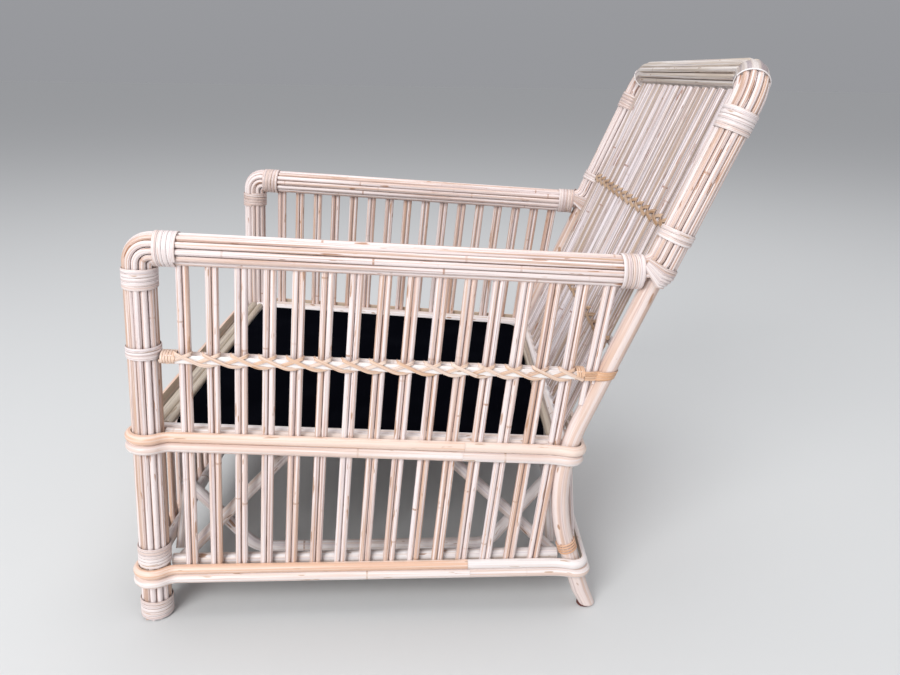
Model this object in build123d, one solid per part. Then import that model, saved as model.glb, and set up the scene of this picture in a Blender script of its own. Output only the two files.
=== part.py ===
"""Rattan lounge chair: bent pole frame bundled in canes, paired cane slats, half-round bands,
lashed rails and a dark cloth seat deck. Millimetres, +Z up, the sitter faces -Y, +X is the
sitter's left. Every piece is its own solid; each side is one upright plane turned in plan."""
import os
from math import asin, atan, cos, floor, pi, radians, sin, sqrt, tan

from build123d import *

# Overall sizes
FRONT_HALF = 330.0        # half the distance between the front posts, at their centre lines
PLAN_TAPER = 2.55         # degrees that each side turns in towards the back
ARM_HEIGHT = 550.0        # centre line of the arm above the front post
ARM_FALL = 2.78           # degrees that arm, side rail and seat fall towards the back
POST_LEAN = 30.4          # how far the front foot stands ahead of the elbow
LEG_FOOT = 609.0          # rear foot centre, measured along the side from the elbow
LEG_KNEE = 542.0          # where the two straight runs of the rear leg would meet
LEG_KNEE_HEIGHT = 205.0
LEG_BEND = 290.0          # radius of the bend in the rear leg
BACK_LEAN = 22.7          # degrees of the straight upper run of the rear leg
BACK_HEIGHT = 767.0       # centre line of the top rail
SEAT_HEIGHT = 292.0       # top of the deck level with the elbow
BASE_HEIGHT = 72.0        # joint between the two lowest bands

# Stock
POLE = 25.4               # frame pole
CANE = 8.6                # bundle and slat cane
RAIL = 17.5               # inner rails and braces
LATH = 11.0               # lashed rails behind the slats
BEAD = 13.0               # cane bordering the deck
BAND_TALL = 14.6          # half-round band
BAND_DEEP = 8.0
WRAP = 1.5                # thickness of wound peel
STRIP_WIDE = 5.2          # lashing strip
STRIP_THICK = 1.2

# Fits and spacing
SEAT_GAP = 0.3            # clearance between pieces that bear on each other
CANE_GAP = 0.1            # clearance of a bundle cane on its core
ELBOW_BEND = 18.0         # bend of the bundle's centre line, post to arm
JOINT_BEND = 30.0         # bend of the bundle's centre line, arm to upright
CORNER_BEND = 40.0        # bend of the back pole into the top rail
CORNER_CUT = 47.0         # degrees into that bend at which the upright's canes end
BRACE_BEND = 42.0         # bends of the braces under the seat
FILLET_BEND = 30.0        # easing of a band on to a post
SIDE_SLAT_OUT = 4.5       # side slats stand out from the arm's centre plane
END_SLAT_OUT = 14.0       # front slats stand out from the posts' centre plane
SLAT_FIRST = 54.0         # first pair behind the post
SLAT_PITCH = 37.15        # pairs along the arm
END_PITCH = 38.0          # pairs along front, rear and back, before they are evened out
END_MARGIN = 50.0         # first end pair from the post
BAND_JOIN = 0.78          # share of the side at which the two lengths of a band meet
RAIL_DROP = 146.0         # arm centre line down to the lashed side rail
BACK_RAIL_LOW = 112.0     # lower lashed back rail, above the deck
BACK_RAIL_HIGH = 54.0     # upper lashed back rail, above the joint of arm and back
RUNNER_TALL = 12.0        # flat cane along the front of the side slats
RUNNER_THICK = 3.4
ARCH_SHARES = (0.328, 0.723)  # bends of the side arch, as shares of the way back to the knee
BOW_SHARES = (0.207, 0.852)   # bends of the side bow
END_ARCH_SHARE = 0.356    # bends of front and rear arch, as a share of the half width
END_ARCH_FOOT = 62.0      # feet of front and rear arch, in from the posts
BRACE_DROP = 28.5         # top of the side arch below the deck
BOW_TIP = 196.0           # height of the bow's front end
DECK_THICK = 11.0
STRAP_WIDE = 48.0
STRAP_THICK = 2.0
GLIDE_THICK = 3.0
LASH_SWING = 27.0         # degrees of a lashing strip off the rail
LEAN_ROOM = 0.8           # room for the post's lean inside a band's height
LEG_SHIFT = 1.6           # a band rounds the leaning leg about a point behind its centre line
SLAT_FORWARD = 4.5        # back slats stand forward of the uprights' centre plane

# Bindings
WIND_ROOM = 0.2           # clearance of wound peel on what it goes round
FOOT_WRAP = 30.0          # length of the binding at the foot of a post
BROAD_WRAP = 28.0         # of the broad ones on post and upright
RAIL_WRAP = 18.0          # of the one level with the side rail
JOINT_WRAP = 16.0         # of the one above the joint of arm and back
LEG_WRAP = 14.0           # of the rings on the rear leg
FOOT_WRAP_UP = 2.0        # their starts: above the floor
BASE_WRAP_UP = 20.0       # above the base bands, on the post
LEG_WRAP_UP = 21.0        # above the base bands, on the leg
ELBOW_WRAP_DOWN = 52.0    # below the arm
JOINT_WRAP_UP = 41.0      # above the joint
TOP_WRAP_DOWN = 69.0      # below the top rail
STRAP_BELOW = 16.0        # saddle over the joint of arm and back, below and above the joint
STRAP_ABOVE = 12.0
STRAP_REACH = 16.0        # how far it lies forward on the flanks of the arm

TURN = radians(PLAN_TAPER)
FALL = tan(radians(ARM_FALL))
LEAN = tan(radians(BACK_LEAN))
RING = POLE / 2 + CANE_GAP + CANE / 2
BUNDLE = RING + CANE / 2
CANES = floor(pi / asin((CANE + CANE_GAP) / (2 * RING)))
PAIR = CANE / 2 + CANE_GAP
LEG_ROUND = POLE / 2 + LEG_SHIFT + LEAN_ROOM
parts = {}


def at(s, z, n=0.0):
    """Point of the sitter's left side: s back from the elbow, z up, n outward."""
    return Vector(FRONT_HALF - s * sin(TURN) + n * cos(TURN), s * cos(TURN) + n * sin(TURN), z)


def path(points, bends):
    """Straight runs through the points joined by tangent arcs, one radius per inner point."""
    points = [Vector(p) for p in points]
    edges = []
    here = points[0]
    for i, bend in enumerate(bends, start=1):
        a = (points[i - 1] - points[i]).normalized()
        b = (points[i + 1] - points[i]).normalized()
        half = a.get_angle(b) / 2
        reach = bend / tan(radians(half))
        middle = (a + b).normalized()
        start = points[i] + a * reach
        top = points[i] + middle * (bend / sin(radians(half)) - bend)
        end = points[i] + b * reach
        edges.append(Line(here, start))
        edges.append(ThreePointArc(start, top, end))
        here = end
    edges.append(Line(here, points[-1]))
    return Wire([e.edge() if hasattr(e, "edge") else e for e in edges])


def rod(points, wide, bends=()):
    """Round cane or pole along a path of straight runs and arcs."""
    a = Vector(points[0])
    b = Vector(points[1])
    if not bends:
        return Solid.make_cylinder(wide / 2, (b - a).length, Plane(a, z_dir=(b - a)))
    return sweep(Plane(a, z_dir=(b - a)) * Circle(wide / 2), path=path(points, bends)).solid()


def sleeve(a, b, bore, thick=WRAP):
    """Wound peel round a straight run, from a to b."""
    a = Vector(a)
    b = Vector(b)
    ring = Plane(a, z_dir=(b - a)) * (Circle(bore + thick) - Circle(bore))
    return extrude(ring, amount=(b - a).length).solid()


def trim(solid, origin, keep):
    """Cuts a solid square with a plane and keeps the side that the direction points to."""
    return split(solid, bisect_by=Plane(origin, z_dir=keep), keep=Keep.TOP).solid()


def group(solids):
    return Compound(children=list(solids))


def both(name, solids):
    """A set of solids on the sitter's left, and its mirror image on the right."""
    solids = list(solids)
    parts["left_" + name] = group(solids)
    parts["right_" + name] = group([mirror(s, about=Plane.YZ).solid() for s in solids])


# Centre lines of one side
def arm_z(s):
    return ARM_HEIGHT - s * FALL


def post_s(z):
    return -POST_LEAN * (1 - z / ARM_HEIGHT)


def leg_s(z):
    """Straight upper run of the rear leg."""
    return LEG_KNEE + (z - LEG_KNEE_HEIGHT) * LEAN


FOOT_SLOPE = (LEG_FOOT - LEG_KNEE) / LEG_KNEE_HEIGHT
BEND_ANGLE = radians(BACK_LEAN) + atan(FOOT_SLOPE)


def low_leg_s(z):
    """Straight lower run of the rear leg."""
    return LEG_FOOT - z * FOOT_SLOPE


def leg_line(z):
    """Rear leg as bent: the lower run, the arc at the knee and the upper run."""
    reach = LEG_BEND * tan(BEND_ANGLE / 2)
    if z >= LEG_KNEE_HEIGHT + reach * cos(radians(BACK_LEAN)):
        return leg_s(z)
    if z <= LEG_KNEE_HEIGHT - reach * cos(atan(FOOT_SLOPE)):
        return low_leg_s(z)
    half = (radians(BACK_LEAN) - atan(FOOT_SLOPE)) / 2
    throw = LEG_BEND / cos(BEND_ANGLE / 2)
    centre_s = LEG_KNEE + throw * cos(half)
    centre_z = LEG_KNEE_HEIGHT - throw * sin(half)
    return centre_s - sqrt(LEG_BEND**2 - (z - centre_z) ** 2)


JOINT_S = (LEG_KNEE + (ARM_HEIGHT - LEG_KNEE_HEIGHT) * LEAN) / (1 + FALL * LEAN)
JOINT_Z = arm_z(JOINT_S)
TOP_S = leg_s(BACK_HEIGHT)
KNEE_EASE = LEG_BEND * (1 / cos(BEND_ANGLE / 2) - 1)
LEG_MIN = LEG_KNEE + KNEE_EASE - POLE / 2
elbow = at(0, ARM_HEIGHT)
joint = at(JOINT_S, JOINT_Z)
up_post = (at(0, ARM_HEIGHT) - at(-POST_LEAN, 0)).normalized()
along_arm = (joint - elbow).normalized()
up_back = (at(TOP_S, BACK_HEIGHT) - joint).normalized()
outward = Vector(cos(TURN), sin(TURN), 0)
over_arm = along_arm.cross(outward) * -1
if over_arm.Z < 0:
    over_arm = over_arm * -1
behind_post = outward.cross(up_post)
if behind_post.Y < 0:
    behind_post = behind_post * -1
ahead_back = outward.cross(up_back)
if ahead_back.Y > 0:
    ahead_back = ahead_back * -1

# Front post and arm: one pole bent tightly at the elbow, its end cut to lie on the rear leg
core = rod(
    [at(post_s(-30), -30), elbow, joint],
    POLE,
    [ELBOW_BEND],
)
core = trim(core, (0, 0, 0), (0, 0, 1))
core = trim(core, joint + ahead_back * (POLE / 2 + SEAT_GAP), ahead_back)
both("post_and_arm_pole", [core])

# Rear leg: foot, long easy bend under the seat, straight up the back and over into the top rail
top_corner = at(TOP_S, BACK_HEIGHT)
rail_end = top_corner + Vector(-1, 0, 0) * (CORNER_BEND + 6)
leg = rod(
    [at(low_leg_s(-40), -40), at(LEG_KNEE, LEG_KNEE_HEIGHT), top_corner, rail_end],
    POLE,
    [LEG_BEND, CORNER_BEND],
)
leg = trim(leg, (0, 0, GLIDE_THICK), (0, 0, 1))
both("rear_leg", [leg])
glide_at = at(low_leg_s(GLIDE_THICK), 0)
glide = Solid.make_cylinder(POLE / 2 - 1.5, GLIDE_THICK, Plane(glide_at))
parts["rear_glides"] = group([glide, mirror(glide, about=Plane.YZ).solid()])

# Canes round post and arm. The upper ones turn up the back and over the corner, the lower ones
# stop at the leg, and others start there behind the leg
EAST = Vector(1, 0, 0)
corner_out = (EAST - up_back * EAST.dot(up_back)).normalized()
corner_axis = up_back.cross(corner_out)
corner_half = radians(up_back.get_angle(EAST)) / 2
hub = top_corner - (up_back + EAST).normalized() * (CORNER_BEND / sin(corner_half))
cut_way = up_back * cos(radians(CORNER_CUT)) - corner_out * sin(radians(CORNER_CUT))


def over_corner(offset):
    """Corner point and bend of a cane that stands off the back pole and turns over with it."""
    out = offset.dot(corner_out)
    point = top_corner + corner_axis * offset.dot(corner_axis)
    return point + (up_back + EAST) * (out / sin(2 * corner_half)), CORNER_BEND + out


corner_start = top_corner - up_back * (CORNER_BEND + 4)
stop = joint - along_arm * (POLE / 2 / cos(radians(BACK_LEAN)) + 10)
full = []
short = []
rear = []
for k in range(CANES):
    turn = 2 * pi * k / CANES
    rise = RING * cos(turn)
    side = outward * (RING * sin(turn))
    foot = at(post_s(-30), -30) - behind_post * rise + side
    bend_1 = elbow + side + (over_arm * rise - behind_post * rise)
    elbow_bend = max(ELBOW_BEND + rise, 0.56 * CANE)
    over, over_bend = over_corner(side + ahead_back * rise)
    if rise > -1:
        bend_2 = joint + side
        spread = up_back.cross(along_arm).length
        bend_2 = bend_2 + (up_back * rise - along_arm * rise) * (1 / spread)
        points = [foot, bend_1, bend_2, over, over - EAST * (1.6 * over_bend)]
        cane = rod(points, CANE, [elbow_bend, JOINT_BEND - rise, over_bend])
        cane = trim(cane, (0, 0, 0), (0, 0, 1))
        full.append(trim(cane, hub, cut_way * -1))
    else:
        end = stop + side + over_arm * rise
        cane = rod([foot, bend_1, end], CANE, [elbow_bend])
        short.append(trim(cane, (0, 0, 0), (0, 0, 1)))
        low = joint - up_back * (STRAP_BELOW - 2) + side + ahead_back * rise
        cane = rod([low, over, over - EAST * (1.6 * over_bend)], CANE, [over_bend])
        rear.append(trim(cane, hub, cut_way * -1))
both("arm_canes", full)
both("lower_arm_canes", short)
both("rear_upright_canes", rear)

# Top rail: straight pole between the two bent legs, its ring of canes, and the wound corners
rail_tip = rail_end + Vector(-SEAT_GAP, 0, 0)
rail_far = Vector(-rail_tip.X, rail_tip.Y, rail_tip.Z)
parts["top_rail_pole"] = group([rod([rail_tip, rail_far], POLE)])
back_normal = Vector(0, -cos(radians(BACK_LEAN)), sin(radians(BACK_LEAN)))
back_up = Vector(0, sin(radians(BACK_LEAN)), cos(radians(BACK_LEAN)))
canes = []
for k in range(CANES):
    turn = 2 * pi * k / CANES
    shift = back_normal * (RING * cos(turn)) + back_up * (RING * sin(turn))
    canes.append(rod([rail_tip + shift, rail_far + shift], CANE))
parts["top_rail_canes"] = group(canes)
wrap_from = corner_start + up_back * 0.5
wrap_to = rail_end + Vector(0.5, 0, 0)
tube = Plane(wrap_from, z_dir=up_back) * (Circle(BUNDLE + 0.4) - Circle(POLE / 2 + SEAT_GAP))
corner = sweep(tube, path=path([wrap_from, top_corner, wrap_to], [CORNER_BEND])).solid()
both("corner_wrap", [trim(corner, hub + cut_way * 0.5, cut_way)])

# Bindings: wound peel on post, arm, upright, leg and rail
bore = BUNDLE + WIND_ROOM
leg_bore = POLE / 2 + WIND_ROOM
joint_reach = JOINT_BEND * tan(radians(along_arm.get_angle(up_back)) / 2)
count = floor((JOINT_S - SLAT_FIRST - joint_reach - 27) / SLAT_PITCH)
short_pair = SLAT_FIRST + SLAT_PITCH * count


def post_at(z):
    return at(post_s(z), z)


def leg_at(z):
    return at(leg_s(z), z)


rail_n = SIDE_SLAT_OUT - CANE / 2 - SEAT_GAP - LATH / 2


def side_rail_at(s):
    return at(s, arm_z(s) - RAIL_DROP, rail_n)


both(
    "post_bindings",
    [
        sleeve(post_at(low), post_at(low + long), bore)
        for low, long in (
            (FOOT_WRAP_UP, FOOT_WRAP),
            (BASE_HEIGHT + BASE_WRAP_UP, BROAD_WRAP),
            (ARM_HEIGHT - RAIL_DROP, RAIL_WRAP),
            (ARM_HEIGHT - ELBOW_WRAP_DOWN, BROAD_WRAP),
        )
    ],
)
leg_front = joint + ahead_back * (leg_bore + SEAT_GAP)
rear_room = (JOINT_S - short_pair - 2 * PAIR) / cos(radians(ARM_FALL)) - (BUNDLE + WRAP) * FALL
rear_wrap = min(joint_reach + 31, rear_room - 0.6)
rear_sleeve = sleeve(joint - along_arm * rear_wrap, joint - along_arm * (joint_reach + 0.5), bore)
both(
    "arm_bindings",
    [
        sleeve(elbow + along_arm * (ELBOW_BEND + 2), elbow + along_arm * (SLAT_FIRST - 3), bore),
        trim(rear_sleeve, leg_front, ahead_back),
    ],
)


def saddle(low, high, reach, hole):
    """Peel wound round behind the upright and forward on both flanks of the arm's canes."""
    rim = hole + WRAP
    edges = [
        Line((reach, rim), (0, rim)),
        ThreePointArc((0, rim), (-rim, 0), (0, -rim)),
        Line((0, -rim), (reach, -rim)),
        Line((reach, -rim), (reach, -hole)),
        Line((reach, -hole), (0, -hole)),
        ThreePointArc((0, -hole), (-hole, 0), (0, hole)),
        Line((0, hole), (reach, hole)),
        Line((reach, hole), (reach, rim)),
    ]
    where = Plane(joint + up_back * low, x_dir=ahead_back, z_dir=up_back)
    face = where * make_face([e.edge() for e in edges])
    return extrude(face, amount=high - low, dir=up_back).solid()


both(
    "upright_bindings",
    [
        sleeve(leg_at(JOINT_Z + JOINT_WRAP_UP), leg_at(JOINT_Z + JOINT_WRAP_UP + JOINT_WRAP), bore),
        sleeve(leg_at(BACK_HEIGHT - TOP_WRAP_DOWN), leg_at(BACK_HEIGHT - TOP_WRAP_DOWN + BROAD_WRAP), bore),
        saddle(-STRAP_BELOW, STRAP_ABOVE, STRAP_REACH, bore),
    ],
)
ring_s = LEG_KNEE + (ARM_HEIGHT - RAIL_DROP - LEG_KNEE_HEIGHT) * LEAN
ring_s = ring_s / (1 + FALL * LEAN)
ring_z = arm_z(ring_s) - RAIL_DROP


def on_leg_line(z):
    return at(leg_line(z), z)


both(
    "leg_bindings",
    [
        sleeve(on_leg_line(low), on_leg_line(low + LEG_WRAP), leg_bore)
        for low in (ring_z - LEG_WRAP / 2, BASE_HEIGHT + LEG_WRAP_UP)
    ],
)

# Side slats in touching pairs from the lowest bands to the arm, and a short pair on the leg
slat_low = BASE_HEIGHT - 10
top_drop = BUNDLE + 0.4
last_top = SLAT_FIRST + SLAT_PITCH * (count - 1)
narrow_z = LEG_KNEE_HEIGHT
clear_at_knee = LEG_MIN - 1.5 - 2 * PAIR / cos(radians(7))
base_first = post_s(slat_low) + SLAT_FIRST
top_z = arm_z(last_top)
slope_last = (last_top - clear_at_knee) / (top_z - narrow_z)
base_last = clear_at_knee - slope_last * (narrow_z - slat_low)
base_pitch = (base_last - base_first) / (count - 1)
slats = []
crossings = []
for k in range(count):
    low = at(base_first + base_pitch * k, slat_low, SIDE_SLAT_OUT)
    s = SLAT_FIRST + SLAT_PITCH * k
    high = at(s, arm_z(s) - top_drop - (WRAP + 1 if k == 0 else 0), SIDE_SLAT_OUT)
    for step in (-PAIR, PAIR):
        slats.append(rod([low + along_arm * step, high + along_arm * step], CANE))
    rise = (arm_z(s) - RAIL_DROP - slat_low) / (arm_z(s) - slat_low)
    crossings.append(base_first + base_pitch * k + (s - base_first - base_pitch * k) * rise)
s = short_pair
high = at(s, arm_z(s) - top_drop, SIDE_SLAT_OUT)
low = at(s - slope_last * (top_z - narrow_z), arm_z(s) - (top_z - narrow_z), SIDE_SLAT_OUT)
leg_face = joint + ahead_back * (leg_bore + WRAP + SEAT_GAP)
for step in (-PAIR, PAIR):
    cane = rod([low + along_arm * step, high + along_arm * step], CANE)
    slats.append(trim(cane, leg_face, ahead_back))
both("side_slats", slats)

# Lashed side rail behind the slats, a flat runner before them, both wound together at their ends
rail_from = post_s(ARM_HEIGHT - RAIL_DROP) + bore + WRAP + SEAT_GAP
rail_to = leg_s(ring_z) - (leg_bore + WRAP + SEAT_GAP) / cos(radians(BACK_LEAN)) - 3
runner_n = SIDE_SLAT_OUT + CANE / 2 + SEAT_GAP + RUNNER_THICK / 2
runner_mid = (rail_from + rail_to) / 2
runner_long = (rail_to - rail_from) / cos(radians(ARM_FALL))
runner_at = at(runner_mid, arm_z(runner_mid) - RAIL_DROP, runner_n)
runner_plane = Plane(runner_at, x_dir=along_arm, z_dir=outward)
runner = runner_plane * Box(runner_long, RUNNER_TALL, RUNNER_THICK)
lath = rod([side_rail_at(rail_from), side_rail_at(rail_to)], LATH)
both("side_rail", [lath, runner.solid()])


def rail_wrap(s_from, s_to):
    """Peel wound round rail and runner together."""
    back = rail_n - LATH / 2 - WIND_ROOM
    front = runner_n + RUNNER_THICK / 2 + WIND_ROOM
    tall = max(LATH, RUNNER_TALL) + 2 * WIND_ROOM
    a = at(s_from, arm_z(s_from) - RAIL_DROP, (back + front) / 2)
    where = Plane(a, x_dir=outward, z_dir=along_arm)
    rim = RectangleRounded(front - back + 2 * WRAP, tall + 2 * WRAP, WRAP)
    ring = where * (rim - Rectangle(front - back, tall))
    return extrude(ring, amount=(s_to - s_from) / cos(radians(ARM_FALL)), dir=along_arm).solid()


last_gap = crossings[-1] + 2 * PAIR + 3
last_gap_end = min(crossings[-1] + SLAT_PITCH - 2 * PAIR - 3, rail_to)
both(
    "side_rail_wraps",
    [
        rail_wrap(rail_from + 0.6, crossings[0] - 2 * PAIR - 1),
        rail_wrap(last_gap, last_gap_end),
    ],
)


def strip(centre, along, across, face, swing, long, layer):
    """One flat lashing strip, lying in its layer over the surface at its centre."""
    lift = SEAT_GAP + STRIP_THICK / 2 + layer * (STRIP_THICK + 0.2)
    x_dir = along * cos(radians(swing)) + across * sin(radians(swing))
    where = Plane(centre + face * lift, x_dir=x_dir, z_dir=face)
    return (where * Box(long, STRIP_WIDE, STRIP_THICK)).solid()


lashes = []
for k, s in enumerate(crossings):
    here = at(s, arm_z(s) - RAIL_DROP, runner_n + RUNNER_THICK / 2)
    climb = here - along_arm * (0.2 * base_pitch) + over_arm * 2.5
    drop = here + along_arm * (0.22 * base_pitch)
    climb_layer = 2 if k == 0 else 0
    drop_layer = 1.2 if k == count - 1 else 1
    lashes.append(strip(climb, along_arm, over_arm, outward, 22, base_pitch * 0.92, climb_layer))
    lashes.append(strip(drop, along_arm, over_arm, outward, -LASH_SWING, base_pitch * 0.97, drop_layer))
both("side_lashing", lashes)


# Bands: two half-round canes at seat level and two at the base, bent round posts and legs
def corner_path(centre, way_in, way_out, off_in, off_out, radius):
    """Path that comes along one side, eases out round a post and leaves along the next."""
    right_in = Vector(way_in.Y, -way_in.X)
    right_out = Vector(way_out.Y, -way_out.X)
    big = radius + FILLET_BEND
    reach_in = sqrt(big**2 - (off_in + FILLET_BEND) ** 2)
    reach_out = sqrt(big**2 - (off_out + FILLET_BEND) ** 2)
    f_in = centre + right_in * (off_in + FILLET_BEND) - way_in * reach_in
    f_out = centre + right_out * (off_out + FILLET_BEND) + way_out * reach_out
    t1 = centre + right_in * off_in - way_in * reach_in
    t2 = centre + (f_in - centre) * (radius / big)
    t3 = centre + (f_out - centre) * (radius / big)
    t4 = centre + right_out * off_out + way_out * reach_out
    m1 = f_in + ((t1 - f_in) + (t2 - f_in)).normalized() * FILLET_BEND
    m2 = centre + ((t2 - centre) + (t3 - centre)).normalized() * radius
    m3 = f_out + ((t3 - f_out) + (t4 - f_out)).normalized() * FILLET_BEND
    return [(t1, m1, t2), (t2, m2, t3), (t3, m3, t4)]


def band_half(level, fall, lift, corners, start, end):
    """Half of a band loop: half-round section along lines and arcs in a falling plane."""
    tilt = Plane((0, 0, level), x_dir=(1, 0, 0), z_dir=(0, sin(fall), cos(fall)))
    edges = []
    here = start
    for arcs in corners:
        edges.append(Line(here, arcs[0][0]))
        for a, m, b in arcs:
            edges.append(ThreePointArc(a, m, b))
        here = arcs[-1][2]
    edges.append(Line(here, end))
    spine = Wire([e.edge() for e in edges])
    way = (Vector(corners[0][0][0]) - Vector(start)).normalized()
    face_at = Plane(start, x_dir=(way.Y, -way.X, 0), z_dir=way)
    half = BAND_TALL / 2
    outline = [
        Line((0, -half), (0, half)),
        ThreePointArc((0, half), (BAND_DEEP, 0), (0, -half)),
    ]
    section = face_at * make_face([e.edge() for e in outline])
    solid = sweep(section, path=spine).solid()
    return tilt * (Pos(0, 0, lift) * solid)


def loop(name, level, fall):
    """Two stacked bands in one falling plane, each in a front and a rear half."""
    side_way = Vector(-sin(TURN), cos(TURN), 0)
    mirror_way = Vector(-sin(TURN), -cos(TURN), 0)
    east = Vector(1, 0, 0)
    west = Vector(-1, 0, 0)
    side_off = SIDE_SLAT_OUT + CANE / 2 + SEAT_GAP
    round_post = BUNDLE + SEAT_GAP + LEAN_ROOM
    front_off = min(END_SLAT_OUT + CANE / 2 + SEAT_GAP + LEAN_ROOM, round_post - 0.4)
    for label, side in (("upper", 1), ("lower", -1)):
        up = side * (BAND_TALL / 2 + 0.1)
        post_z = level + up
        leg_z = level + up
        for step in range(8):
            post_z = level + up - tan(fall) * at(post_s(post_z), 0).Y
            leg_z = level + up - tan(fall) * at(leg_line(leg_z), 0).Y
        post = at(post_s(post_z), 0)
        post = Vector(post.X, (post.Y - up * sin(fall)) / cos(fall), 0)
        leg_c = at(leg_line(leg_z) + LEG_SHIFT, 0)
        leg_c = Vector(leg_c.X, (leg_c.Y - up * sin(fall)) / cos(fall), 0)
        west_post = Vector(-post.X, post.Y, 0)
        west_leg = Vector(-leg_c.X, leg_c.Y, 0)
        c1 = corner_path(west_post, mirror_way, east, side_off, front_off, round_post)
        c2 = corner_path(post, east, side_way, front_off, side_off, round_post)
        c3 = corner_path(leg_c, side_way, west, side_off, LEG_ROUND - 0.4, LEG_ROUND)
        c4 = corner_path(west_leg, west, mirror_way, LEG_ROUND - 0.4, side_off, LEG_ROUND)
        right_join = c2[-1][2] + (c3[0][0] - c2[-1][2]) * BAND_JOIN
        left_join = c1[0][0] + (c4[-1][2] - c1[0][0]) * BAND_JOIN
        gap = side_way * (SEAT_GAP / 2)
        left_gap = mirror_way * (SEAT_GAP / 2)
        front = band_half(level, fall, up, [c1, c2], left_join + left_gap, right_join - gap)
        back = band_half(level, fall, up, [c3, c4], right_join + gap, left_join - left_gap)
        parts[name + "_" + label] = group([front.solid(), back.solid()])


seat_fall = radians(ARM_FALL)
band_level = SEAT_HEIGHT - 9.0
seat_leg_z = band_level - FALL * LEG_KNEE
seat_leg = at(leg_line(seat_leg_z), seat_leg_z)
base_leg = at(leg_line(BASE_HEIGHT), BASE_HEIGHT)
loop("seat_band", band_level, seat_fall)
loop("base_band", BASE_HEIGHT, 0.0)


# Inner rails: the slats and braces are fixed to these
def seat_z(y):
    """Top of the deck at a distance back from the elbow."""
    return SEAT_HEIGHT - y * FALL


rail_in = SIDE_SLAT_OUT - CANE / 2 - SEAT_GAP - RAIL / 2
front_face = END_SLAT_OUT - CANE / 2 - SEAT_GAP - RAIL / 2
seat_rail_drop = 5.0
base_rail_z = BASE_HEIGHT + 12.0


def post_y(z):
    return at(post_s(z), 0).Y


front_rail_y = post_y(SEAT_HEIGHT - seat_rail_drop) - front_face
rear_in = LEG_SHIFT + LEG_ROUND - 0.4 - SEAT_GAP - CANE / 2
rear_seat_y = at(leg_line(seat_leg_z - BAND_TALL), 0).Y + rear_in - LEAN_ROOM
rear_base_y = at(leg_line(BASE_HEIGHT + BAND_TALL), 0).Y + rear_in
rear_rail_y = rear_seat_y - CANE / 2 - SEAT_GAP - RAIL / 2


def cross_rail(y, z, wide, half):
    return rod([(-half, y, z), (half, y, z)], wide)


post_half = FRONT_HALF - bore - WRAP - 0.6
leg_half = seat_leg.X - POLE / 2 - SEAT_GAP - 0.5
parts["seat_rail_front"] = group(
    [cross_rail(front_rail_y, seat_z(front_rail_y) - seat_rail_drop, RAIL, post_half)]
)
parts["seat_rail_rear"] = group(
    [cross_rail(rear_rail_y, seat_z(rear_rail_y) - seat_rail_drop, RAIL, leg_half)]
)
side_from = post_s(SEAT_HEIGHT) + BUNDLE + 0.6
side_to = seat_leg.Y / cos(TURN) - POLE / 2 - 6
rail_ends = []
for s in (side_from, side_to):
    rail_ends.append(at(s, seat_z(s * cos(TURN)) - seat_rail_drop, rail_in))
both("seat_rail", [rod(rail_ends, RAIL)])
base_front_y = post_y(base_rail_z) - front_face
rear_top = seat_z(rear_seat_y) - 16
rear_share = (base_rail_z - slat_low) / (rear_top - slat_low)
rear_at_rail = rear_base_y + (rear_seat_y - rear_base_y) * rear_share
base_rear_y = rear_at_rail - CANE / 2 - SEAT_GAP - RAIL / 2
parts["base_rail_front"] = group([cross_rail(base_front_y, base_rail_z, RAIL, post_half)])
base_half = base_leg.X - POLE / 2 - WRAP - SEAT_GAP - 0.5
parts["base_rail_rear"] = group([cross_rail(base_rear_y, base_rail_z, RAIL, base_half)])
base_from = post_s(base_rail_z) + bore + WRAP + 0.6
base_to = low_leg_s(base_rail_z) - POLE / 2 - WRAP - 4.5
both("base_rail", [rod([at(base_from, base_rail_z, rail_in), at(base_to, base_rail_z, rail_in)], RAIL)])

# Braces under the seat: an arch and a hanging bow on each side, an arch at front and rear
arch_n = rail_in - RAIL / 2 - SEAT_GAP - RAIL / 2
bow_n = arch_n - RAIL - SEAT_GAP
arch_s = [share * LEG_KNEE for share in ARCH_SHARES]
bow_s = [share * LEG_KNEE for share in BOW_SHARES]
arch = [
    at(post_s(BASE_HEIGHT - 6) + BUNDLE + 3, BASE_HEIGHT - 6, arch_n),
    at(arch_s[0], seat_z(arch_s[0]) - BRACE_DROP, arch_n),
    at(arch_s[1], seat_z(arch_s[1]) - BRACE_DROP, arch_n),
    at(base_rear_y / cos(TURN) - 0.7 * RAIL, BASE_HEIGHT - 2, arch_n),
]
both("arch_brace", [rod(arch, RAIL, [BRACE_BEND, BRACE_BEND])])
bow = [
    at(post_s(BOW_TIP) + BUNDLE + 14, BOW_TIP, bow_n),
    at(bow_s[0], base_rail_z - 4, bow_n),
    at(bow_s[1], base_rail_z - 4, bow_n),
    at(LEG_KNEE, LEG_KNEE_HEIGHT - 15, bow_n),
]
both("bow_brace", [rod(bow, RAIL, [BRACE_BEND, BRACE_BEND])])


def end_arch(y_low, y_high, z_high, half):
    half_low = half - END_ARCH_FOOT
    half_high = half * END_ARCH_SHARE
    points = [
        (-half_low, y_low, BASE_HEIGHT - 4),
        (-half_high, y_high, z_high),
        (half_high, y_high, z_high),
        (half_low, y_low, BASE_HEIGHT - 4),
    ]
    return rod(points, RAIL, [BRACE_BEND, BRACE_BEND])


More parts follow.
